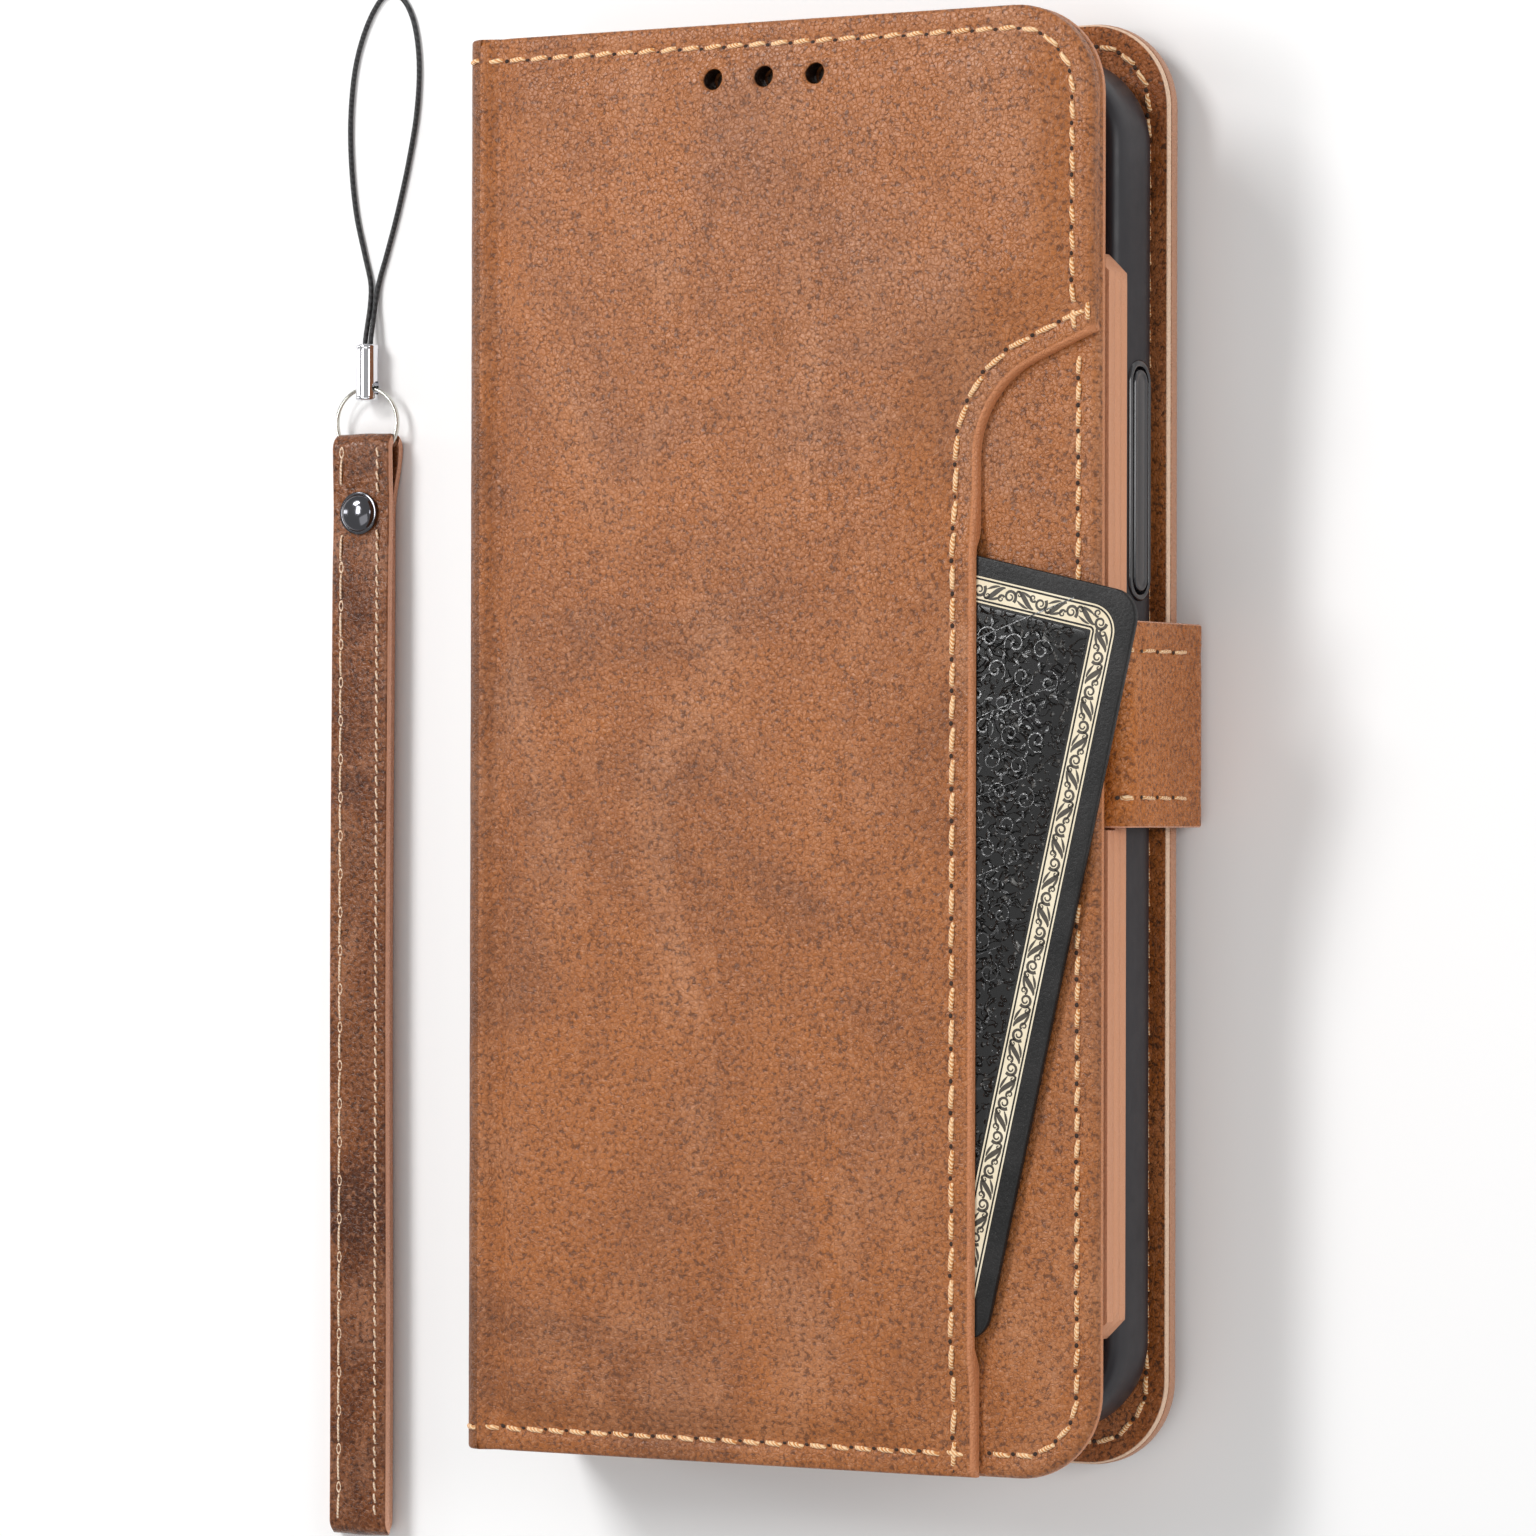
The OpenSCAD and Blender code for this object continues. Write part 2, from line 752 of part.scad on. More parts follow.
// the sleeve holds both ends of the cord, and the ring passes through its lower end
module cord_sleeve() {
    color("#c9ccd2") at_wrist(sleeve_y, sleeve_z) difference() {
        rotate([-90, 0, 0]) cylinder(d = sleeve_d, h = sleeve_l);
        translate([0, 2.6, 0]) rotate([-90, 0, 0]) cylinder(d = sleeve_bore_d, h = sleeve_l);
        translate([-sleeve_d, ring_y + ring_r - sleeve_y, 0]) rotate([0, 90, 0])
            cylinder(d = ring_wire_d + 2 * wire_gap, h = 2 * sleeve_d);
    }
}

// a point on a smooth curve through the cord's points
function catmull(a, b, c, d, t) =
    0.5 * (2 * b + (c - a) * t + (2 * a - 5 * b + 4 * c - d) * t * t
        + (3 * b - a - 3 * c + d) * t * t * t);

function cord_line(p, n) = [
    for (i = [0 : len(p) - 2], k = [0 : n - 1])
        catmull(p[max(i - 1, 0)], p[i], p[i + 1], p[min(i + 2, len(p) - 1)], k / n),
    p[len(p) - 1]
];

function unit(v) = v / norm(v);

module swept_cord(line, r) {
    m = len(line);
    up = [0, 0, 1];
    rings = [for (i = [0 : m - 1])
        let (
            d = unit(line[min(i + 1, m - 1)] - line[max(i - 1, 0)]),
            side = unit(cross(d, up)),
            lift = cross(side, d)
        )
        for (k = [0 : cord_sides - 1])
            line[i] + r * (cos(360 * k / cord_sides) * side + sin(360 * k / cord_sides) * lift)
    ];
    walls = [for (i = [0 : m - 2], k = [0 : cord_sides - 1])
        let (a = i * cord_sides + k, b = i * cord_sides + (k + 1) % cord_sides)
        for (f = [[a, b + cord_sides, b], [a, a + cord_sides, b + cord_sides]]) f
    ];
    first = [for (k = [0 : cord_sides - 1]) k];
    last = [for (k = [cord_sides - 1 : -1 : 0]) (m - 1) * cord_sides + k];
    polyhedron(rings, concat(walls, [first, last]), convexity = 6);
}

module cord() {
    color("#101012") at_wrist(sleeve_y, sleeve_z)
        swept_cord(cord_line(cord_points, cord_steps), cord_d / 2);
}

back_leather();
back_board();
back_lining();
back_stitching();
steel_plate();
phone_tray();
volume_cover();
power_cover();
spine_leather();
spine_lining();
front_base();
front_pocket();
front_board();
front_lining();
cash_panel();
slot_panel();
slot_face();
front_stitching();
pocket_stitching();
card();
clasp_root();
clasp_strap();
clasp_lining();
clasp_stitching();
clasp_tab();
clasp_tab_lining();
clasp_magnet();
wrist_leather();
wrist_stitching();
wrist_rivet();
wrist_ring();
cord_sleeve();
cord();
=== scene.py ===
import json
import math

import bmesh
import bpy
import numpy as np
from mathutils import Matrix, Vector
from mathutils.geometry import delaunay_2d_cdt


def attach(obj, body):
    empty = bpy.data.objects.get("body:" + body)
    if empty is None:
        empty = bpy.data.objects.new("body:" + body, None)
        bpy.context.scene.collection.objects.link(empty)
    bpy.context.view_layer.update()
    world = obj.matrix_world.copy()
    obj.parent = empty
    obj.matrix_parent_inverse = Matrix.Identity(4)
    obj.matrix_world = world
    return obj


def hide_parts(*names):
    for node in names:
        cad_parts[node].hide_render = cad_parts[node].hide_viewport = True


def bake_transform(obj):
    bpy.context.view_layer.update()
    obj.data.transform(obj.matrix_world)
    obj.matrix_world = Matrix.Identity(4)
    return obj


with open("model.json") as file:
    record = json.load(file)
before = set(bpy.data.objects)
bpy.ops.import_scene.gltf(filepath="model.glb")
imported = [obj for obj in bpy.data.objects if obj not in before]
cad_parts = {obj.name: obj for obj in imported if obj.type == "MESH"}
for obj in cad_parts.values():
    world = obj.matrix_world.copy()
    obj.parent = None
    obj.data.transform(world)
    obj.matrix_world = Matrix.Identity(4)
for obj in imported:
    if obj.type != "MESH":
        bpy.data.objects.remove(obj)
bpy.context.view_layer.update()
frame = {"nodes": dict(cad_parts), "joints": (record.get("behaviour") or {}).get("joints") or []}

MM = 0.001
COLLECTION = bpy.context.scene.collection

# ---------- the closed case's own axes: X to the opening side, Y up the case, Z to the front ----------

JOINTS = {j["name"]: j for j in frame["joints"]}
ROLL = 2.0
FOLD_X = -38.5
low_fold = np.array(JOINTS["spine_fold"]["pos_m"])
high_fold = np.array(JOINTS["cover_fold"]["pos_m"])
fold_span = float(np.linalg.norm(high_fold - low_fold))
EZ = (high_fold - low_fold) / fold_span
EX = np.array([EZ[2], 0.0, -EZ[0]])
EY = np.array([0.0, 1.0, 0.0])
ORIGIN = low_fold - EX * FOLD_X * MM - EZ * ROLL * MM
FRONT_FOLD_Z = ROLL + fold_span / MM
Z_TOP = FRONT_FOLD_Z + ROLL

X_LEFT, X_RIGHT, HALF_H, CORNER = -40.5, 40.5, 82.0, 10.0
Z_LINING, Z_BOARD, Z_BASE_IN, Z_BASE = 18.5, 19.1, 19.9, 20.9
Z_CARD, CARD_T, POCKET_IN = 21.25, 0.76, 22.11
STITCH_IN = 2.6
SPINE_T = 1.1
PITCH = 2.9
CREASE_X = -36.4
WRIST_X, WRIST_TOP, WRIST_L, WRIST_W, LAYER_T = -67.0, 38.0, 133.6, 8.0, 1.3
CLASP_X, CLASP_Y, CLASP_W = 42.3, 2.0, 23.0
CLASP_TOP_Z, CLASP_LOW_Z = 17.7, -1.1
CLASP_ROW = 8.2
RING_Y, RING_R = WRIST_TOP + 1.2, 4.25
# where each fold's bending starts and ends
FRONT_ROLL_BEND = ([X_LEFT, 0, 20.0], [-38.8, 0, Z_TOP])
CLASP_BEND = ([40.4, 0, 18.2], [42.7, 0, 15.6])
TAB_BEND = ([42.7, 0, 0.9], [40.6, 0, -1.6])


def case(p):
    p = np.asarray(p, float)
    return ORIGIN + (p[..., 0:1] * EX + p[..., 1:2] * EY + p[..., 2:3] * EZ) * MM


def table(p):
    return np.asarray(p, float) * MM


# ---------- camera ----------

def set_camera():
    psi, pitch, roll = (math.radians(v) for v in (28.9548, 0.3980, 0.1360))
    distance, right_off, up_off = 733.566, 11.2267, 2.6994
    n = np.array([math.sin(psi) * math.cos(pitch), -math.sin(pitch), math.cos(psi) * math.cos(pitch)])
    r = np.cross([0, 1, 0], n)
    r /= np.linalg.norm(r)
    u = np.cross(n, r)
    r, u = math.cos(roll) * r + math.sin(roll) * u, -math.sin(roll) * r + math.cos(roll) * u
    place = case(distance * n - right_off * r - up_off * u)
    rot = np.array([EX, EY, EZ]).T
    data = bpy.data.cameras.new("camera")
    data.sensor_width = 36
    data.lens = 147.53
    data.clip_end = 20
    cam = bpy.data.objects.new("camera", data)
    COLLECTION.objects.link(cam)
    m = np.eye(4)
    m[:3, 0], m[:3, 1], m[:3, 2], m[:3, 3] = rot @ r, rot @ u, rot @ n, place
    cam.matrix_world = Matrix(m.tolist())
    bpy.context.scene.camera = cam


set_camera()

# ---------- small tools ----------


def smooth(t):
    t = np.clip(t, 0, 1)
    return t * t * (3 - 2 * t)


def bump_at(d, middle, width):
    return np.exp(-((d - middle) / width) ** 2)


def drop(d, r):
    """How far a rounded edge of radius r has fallen at a distance d from the edge."""
    k = np.clip(r - np.asarray(d, float), 0, r)
    return r - np.sqrt(r * r - k * k)


def soft_min(a, b, k=5.0):
    return -np.log(np.exp(-k * a) + np.exp(-k * b)) / k


def waves(x, y, seed, size, count=7):
    """A gentle, seeded unevenness between about -1 and 1."""
    g = np.random.default_rng(seed)
    total = np.zeros(np.broadcast(x, y).shape)
    for _ in range(count):
        a, f, p = g.uniform(0, 2 * np.pi), g.uniform(0.6, 1.6) / size, g.uniform(0, 2 * np.pi)
        total += np.sin(2 * np.pi * f * (np.cos(a) * x + np.sin(a) * y) + p)
    return total / count


def raw_mesh(name, verts, faces):
    """A mesh with its faces turned outward."""
    me = bpy.data.meshes.new(name)
    me.from_pydata([tuple(map(float, v)) for v in verts], [], [tuple(map(int, f)) for f in faces])
    b = bmesh.new()
    b.from_mesh(me)
    bmesh.ops.recalc_face_normals(b, faces=b.faces)
    b.to_mesh(me)
    b.free()
    return me


def shade(me, sharp):
    """Smooth shading that breaks at edges of more than sharp degrees."""
    me.polygons.foreach_set("use_smooth", np.ones(len(me.polygons), bool))
    me.set_sharp_from_angle(angle=math.radians(sharp))


def build(name, verts, faces, mats, body=None, stands_for=(), slot=None, sharp=45, trim=None, face_mat=None):
    me = raw_mesh(name, verts, faces)
    if trim is not None:
        me.attributes.new("trim", "FLOAT", "POINT").data.foreach_set("value", np.asarray(trim, np.float32))
    for m in mats if isinstance(mats, (list, tuple)) else [mats]:
        me.materials.append(m)
    if face_mat is not None:
        me.polygons.foreach_set("material_index", np.asarray(face_mat, np.int32))
    shade(me, sharp)
    me.update()
    obj = bpy.data.objects.new(name, me)
    COLLECTION.objects.link(obj)
    if body:
        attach(obj, body)
    if stands_for:
        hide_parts(*stands_for)
    return obj


def cut(obj, verts, faces):
    """Cuts a closed shape, in world metres, out of a piece."""
    tool = bpy.data.objects.new("cutter", raw_mesh("cutter", verts, faces))
    COLLECTION.objects.link(tool)
    m = obj.modifiers.new("cut", "BOOLEAN")
    m.object, m.operation, m.solver = tool, "DIFFERENCE", "EXACT"
    deps = bpy.context.evaluated_depsgraph_get()
    new = bpy.data.meshes.new_from_object(obj.evaluated_get(deps))
    obj.modifiers.clear()
    obj.data = new
    bpy.data.objects.remove(tool)


def skin(rings, k, closed=False):
    """Faces between rings of k points each. The ends are capped, or closed joins the last ring to the first."""
    f = []
    for i in range(rings if closed else rings - 1):
        a, b = i * k, (i + 1) % rings * k
        f += [[a + j, a + (j + 1) % k, b + (j + 1) % k, b + j] for j in range(k)]
    if not closed:
        f += [list(range(k))[::-1], [(rings - 1) * k + j for j in range(k)]]
    return f


def hoop(n, k, point):
    """A ring of n sections of k points each; point gives the place for the angles round the ring and the section."""
    v = [point(2 * np.pi * i / n, 2 * np.pi * j / k) for i in range(n) for j in range(k)]
    f = [[i * k + j, (i + 1) % n * k + j, (i + 1) % n * k + (j + 1) % k, i * k + (j + 1) % k]
         for i in range(n) for j in range(k)]
    return v, f


def merge(parts):
    v, f = [], []
    for pv, pf in parts:
        s = len(v)
        v += list(pv)
        f += [[i + s for i in q] for q in pf]
    return np.array(v), f


def prism_faces(n):
    return [list(range(n - 1, -1, -1)), list(range(n, 2 * n))] + [[i, (i + 1) % n, n + (i + 1) % n, n + i]
                                                                  for i in range(n)]


def prism(outline, z0, z1):
    """A closed shape between two heights over an outline."""
    return case([[x, y, z] for z in (z0, z1) for x, y in outline]), prism_faces(len(outline))


def rounded_rect(cx, cy, w, h, r, n=6):
    out = []
    for sx, sy, a0 in ((1, -1, -90), (1, 1, 0), (-1, 1, 90), (-1, -1, 180)):
        for i in range(n + 1):
            a = math.radians(a0 + 90 * i / n)
            out.append([cx + sx * (w / 2 - r) + r * math.cos(a), cy + sy * (h / 2 - r) + r * math.sin(a)])
    return np.array(out)


def circle_2d(cx, cy, r, n=28):
    a = np.linspace(0, 2 * np.pi, n, endpoint=False)
    return np.stack([cx + r * np.cos(a), cy + r * np.sin(a)], 1)


def cover_outline(x0, x1, h, r, n=16):
    out = [[x0, -h]]
    for cy, a0 in ((-h + r, -90), (h - r, 0)):
        for i in range(n + 1):
            a = math.radians(a0 + 90 * i / n)
            out.append([x1 - r + r * math.cos(a), cy + r * math.sin(a)])
    out.append([x0, h])
    return np.array(out)


def resample(poly, step):
    out = []
    for a, b in zip(poly, np.roll(poly, -1, 0)):
        n = max(1, int(round(np.linalg.norm(b - a) / step)))
        for i in range(n):
            out.append(a + (b - a) * i / n)
    return np.array(out)


def distance(points, line, closed=True):
    """The least distance from each point to a polyline."""
    a = line if closed else line[:-1]
    b = np.roll(line, -1, 0) if closed else line[1:]
    best = np.full(len(points), 1e9)
    for s in range(0, len(a), 64):
        p, q = a[s:s + 64], b[s:s + 64]
        d = q - p
        l2 = np.maximum((d * d).sum(1), 1e-12)
        t = np.clip(((points[:, None] - p) * d).sum(2) / l2, 0, 1)
        e = np.linalg.norm(points[:, None] - (p + t[..., None] * d), axis=2)
        best = np.minimum(best, e.min(1))
    return best


def inside(points, poly):
    x, y = points[:, 0], points[:, 1]
    result = np.zeros(len(points), bool)
    for a, b in zip(poly, np.roll(poly, -1, 0)):
        if a[1] == b[1]:
            continue
        over = (a[1] > y) != (b[1] > y)
        result ^= over & (x < (b[0] - a[0]) * (y - a[1]) / (b[1] - a[1]) + a[0])
    return result


def layer(name, outline, top, bottom, mats, holes=(), step=1.7, insets=(0.06, 0.2, 0.45, 0.8, 1.3, 1.9, 2.6, 3.3),
          edge_step=1.1, trim_at=0.03, trim_top=0.0, trim_where=None, **kw):
    """A sheet of leather or board over an outline, closed all round. top and bottom give its two faces' heights
    from the place and from the distance to the nearest edge."""
    rims = [resample(np.asarray(outline, float), edge_step)] + [resample(h, 0.45) for h in holes]
    flat, edges = [], []
    for rim in rims:
        s = len(flat)
        flat += list(rim)
        edges += [(s + i, s + (i + 1) % len(rim)) for i in range(len(rim))]
    every = np.array(flat)
    extra = []

    def reach(p):
        return np.min([distance(p, r) for r in rims], axis=0)

    def in_sheet(p):
        ok = inside(p, rims[0])
        for r in rims[1:]:
            ok &= ~inside(p, r)
        return ok

    for k, rim in enumerate(rims):
        t = np.roll(rim, -1, 0) - np.roll(rim, 1, 0)
        t /= np.linalg.norm(t, axis=1)[:, None]
        normal = np.stack([-t[:, 1], t[:, 0]], 1) * (1 if k == 0 else -1)
        for d in (insets if k == 0 else (0.12, 0.35, 0.8)):
            q = rim + normal * d
            extra += list(q[(reach(q) > 0.94 * d) & in_sheet(q)])
    lo, hi = every.min(0), every.max(0)
    gx, gy = np.meshgrid(np.arange(lo[0] + step / 2, hi[0], step), np.arange(lo[1] + step / 2, hi[1], step))
    grid = np.stack([gx.ravel(), gy.ravel()], 1)
    far = (reach(grid) > 0.45 * step) & (distance(grid, rims[0]) > insets[-1] + 0.5 * step)
    extra += list(grid[in_sheet(grid) & far])
    pts = [Vector((float(p[0]), float(p[1]))) for p in list(every) + extra]
    out, _, tris, orig, _, _ = delaunay_2d_cdt(pts, edges, [], 0, 1e-5)
    xy = np.array([[v.x, v.y] for v in out])
    tris = np.array([t for t in tris if len(t) == 3])
    tris = tris[in_sheet(xy[tris].mean(1))]
    place = {g: i for i, group in enumerate(orig) for g in group}
    used = np.unique(tris)
    index = -np.ones(len(xy), int)
    index[used] = np.arange(len(used))
    tris = index[tris]
    xy = xy[used]
    n = len(xy)
    d = reach(xy)
    zt, zb = top(xy[:, 0], xy[:, 1], d), bottom(xy[:, 0], xy[:, 1], d)
    v = np.concatenate([np.column_stack([xy, zt]), np.column_stack([xy, zb])])
    f = [list(t) for t in tris] + [[t[2] + n, t[1] + n, t[0] + n] for t in tris]
    for a, b in edges:
        a, b = index[place[a]], index[place[b]]
        f.append([a, a + n, b + n, b])
    rim_d = np.concatenate([d, d])
    trim = np.clip(1 - rim_d / trim_at, 0, 1)
    if trim_top:
        trim = np.maximum(trim, np.clip(1.4 - rim_d / trim_top, 0, 1))
    if trim_where is not None:
        keep = trim_where(xy[:, 0], xy[:, 1])
        trim = trim * np.concatenate([keep, keep])
    # the walls of holes get trim -1, which the leather material paints near-black as painted shade inside the holes
    for r in rims[1:]:
        hole_d = distance(xy, r)
        trim = np.where(np.concatenate([hole_d, hole_d]) < 0.05, -1.0, trim)
    return build(name, case(v), f, mats, trim=trim, **kw)


def edge_spread(w, fine=(0, 0.04, 0.12, 0.28, 0.5, 0.85), step=1.3):
    """Places across a band of width w, close together near its two edges."""
    side = [f for f in fine if f < w / 2 - 0.1]
    n = max(1, int(round((w - 2 * side[-1]) / step)))
    mid = list(np.linspace(side[-1], w - side[-1], n + 1))[1:-1]
    return np.array(side + mid + [w - s for s in reversed(side)]) - w / 2


def band(name, path, normal, across, width, v0, v1, radius, mats, to=case, closed=False, shift=None, wrinkle=None,
         trim_at=0.06, **kw):
    """A strap along a path: closed skin from v0 to v1 along the normal, rounded at its two edges."""
    path, normal = np.asarray(path, float), np.asarray(normal, float)
    across = np.asarray(across, float)
    u = edge_spread(width)
    e = width / 2 - np.abs(u)
    m, k = len(path), len(u)
    s = np.concatenate([[0], np.cumsum(np.linalg.norm(np.diff(path, axis=0), axis=1))])
    v, trim = [], []
    for i in range(m):
        w_up = v1 - drop(e, radius)
        w_low = v0 + drop(e, radius)
        if wrinkle is not None:
            w_up = w_up + wrinkle(s[i], u, path[i])
        off = across * (shift[i] if shift is not None else 0)
        up = path[i] + off + u[:, None] * across + w_up[:, None] * normal[i]
        lower = path[i] + off + u[::-1, None] * across + w_low[::-1, None] * normal[i]
        v += list(up) + list(lower)
        trim += list(np.clip(1 - e / trim_at, 0, 1)) + list(np.clip(1 - e[::-1] / trim_at, 0, 1))
    ring = 2 * k
    f = skin(m, ring, closed=True)
    if not closed:
        f = f[:(m - 1) * ring]
        for base in (0, (m - 1) * ring):
            for j in range(k - 1):
                f.append([base + j, base + j + 1, base + ring - 2 - j, base + ring - 1 - j])
    return build(name, to(v), f, mats, trim=trim, **kw)


def arc_xz(cx, cz, r, a0, a1, n):
    a = np.radians(np.linspace(a0, a1, n + 1))
    return np.stack([cx + r * np.cos(a), np.zeros(n + 1), cz + r * np.sin(a)], 1)


def dense(points, step):
    out = [np.asarray(points[0], float)]
    for a, b in zip(points[:-1], points[1:]):
        a, b = np.asarray(a, float), np.asarray(b, float)
        n = max(1, int(math.ceil(np.linalg.norm(b - a) / step)))
        out += [a + (b - a) * i / n for i in range(1, n + 1)]
    return np.array(out)


def lathe(profile, n=48):
    """Rings about Z from (radius, height) pairs; a radius of 0 closes an end."""
    v, f, rings = [], [], []
    for r, z in profile:
        if r < 1e-6:
            rings.append([len(v)])
            v.append([0, 0, z])
        else:
            rings.append(list(range(len(v), len(v) + n)))
            a = np.linspace(0, 2 * np.pi, n, endpoint=False)
            v += [[r * math.cos(t), r * math.sin(t), z] for t in a]
    for a, b in zip(rings[:-1], rings[1:]):
        for i in range(n):
            j = (i + 1) % n
            if len(a) == 1:
                f.append([a[0], b[i], b[j]])
            elif len(b) == 1:
                f.append([a[i], a[j], b[0]])
            else:
                f.append([a[i], a[j], b[j], b[i]])
    return np.array(v), f


# ---------- materials ----------


class Nodes:
    def __init__(self, name):
        self.mat = bpy.data.materials.new(name)
        self.mat.use_nodes = True
        self.tree = self.mat.node_tree
        self.tree.nodes.clear()
        out = self.tree.nodes.new("ShaderNodeOutputMaterial")
        self.bsdf = self.tree.nodes.new("ShaderNodeBsdfPrincipled")
        self.tree.links.new(self.bsdf.outputs[0], out.inputs[0])
        self.place = self.new("ShaderNodeTexCoord").outputs["Object"]

    def new(self, kind, **props):
        n = self.tree.nodes.new(kind)
        for k, v in props.items():
            setattr(n, k, v)
        return n

    def link(self, a, b):
        self.tree.links.new(a, b)

    def put(self, node, name, value):
        s = node.inputs[name]
        if isinstance(value, bpy.types.NodeSocket):
            self.link(value, s)
        else:
            s.default_value = value

    def noise(self, scale, detail=3, rough=0.55, place=None, distortion=0.0):
        n = self.new("ShaderNodeTexNoise")
        self.put(n, "Vector", place or self.place)
        self.put(n, "Scale", scale)
        self.put(n, "Detail", detail)
        self.put(n, "Roughness", rough)
        self.put(n, "Distortion", distortion)
        return n.outputs["Fac"]

    def voronoi(self, scale, feature="F1", place=None):
        n = self.new("ShaderNodeTexVoronoi", feature=feature)
        self.put(n, "Vector", place or self.place)
        self.put(n, "Scale", scale)
        return n.outputs["Distance"]

    def stretched(self, sx, sy, sz, turn=0.0):
        n = self.new("ShaderNodeMapping")
        self.put(n, "Vector", self.place)
        n.inputs["Scale"].default_value = (sx, sy, sz)
        n.inputs["Rotation"].default_value = (0, 0, turn)
        return n.outputs[0]

    def shift_by(self, scale, amount):
        """The place, moved about by a noise, so cells are not regular."""
        n = self.new("ShaderNodeTexNoise")
        self.put(n, "Vector", self.place)
        self.put(n, "Scale", scale)
        m = self.new("ShaderNodeVectorMath", operation="SCALE")
        self.link(n.outputs["Color"], m.inputs[0])
        m.inputs["Scale"].default_value = amount
        a = self.new("ShaderNodeVectorMath", operation="ADD")
        self.link(self.place, a.inputs[0])
        self.link(m.outputs[0], a.inputs[1])
        return a.outputs[0]

    def ramp(self, fac, stops):
        n = self.new("ShaderNodeValToRGB")
        self.link(fac, n.inputs[0])
        e = n.color_ramp.elements
        while len(e) < len(stops):
            e.new(0.5)
        for el, (p, c) in zip(e, stops):
            el.position = p
            el.color = (*c, 1)
        return n.outputs[0]

    def span(self, value, a, b, c, d):
        n = self.new("ShaderNodeMapRange")
        self.put(n, "Value", value)
        for name, v in zip(("From Min", "From Max", "To Min", "To Max"), (a, b, c, d)):
            n.inputs[name].default_value = v
        return n.outputs[0]

    def math(self, op, a, b=0.0):
        n = self.new("ShaderNodeMath", operation=op)
        for i, v in enumerate((a, b)):
            if isinstance(v, bpy.types.NodeSocket):
                self.link(v, n.inputs[i])
            else:
                n.inputs[i].default_value = v
        return n.outputs[0]

    def mix(self, fac, a, b):
        n = self.new("ShaderNodeMix", data_type="RGBA")
        for name, v in (("Factor", fac), ("A", a), ("B", b)):
            s = next(i for i in n.inputs if i.name == name and (i.type == ("VALUE" if name == "Factor" else "RGBA")))
            if isinstance(v, bpy.types.NodeSocket):
                self.link(v, s)
            else:
                s.default_value = v if name == "Factor" else (*v, 1)
        return next(o for o in n.outputs if o.type == "RGBA")

    def bump(self, height, depth, strength=1.0, after=None):
        n = self.new("ShaderNodeBump")
        n.inputs["Strength"].default_value = strength
        n.inputs["Distance"].default_value = depth
        self.link(height, n.inputs["Height"])
        if after is not None:
            self.link(after, n.inputs["Normal"])
        return n.outputs[0]

    def attribute(self, name):
        n = self.new("ShaderNodeAttribute", attribute_name=name)
        return n.outputs["Fac"]

    def surface(self, color, rough, normal, fixed=()):
        """Sets the shader's inputs. fixed has the values that are the same all over, which stay on their sockets."""
        for name, value in (("Base Color", color), ("Roughness", rough), ("Normal", normal), *dict(fixed).items()):
            if value is not None:
                self.put(self.bsdf, name, value)
        return self.mat


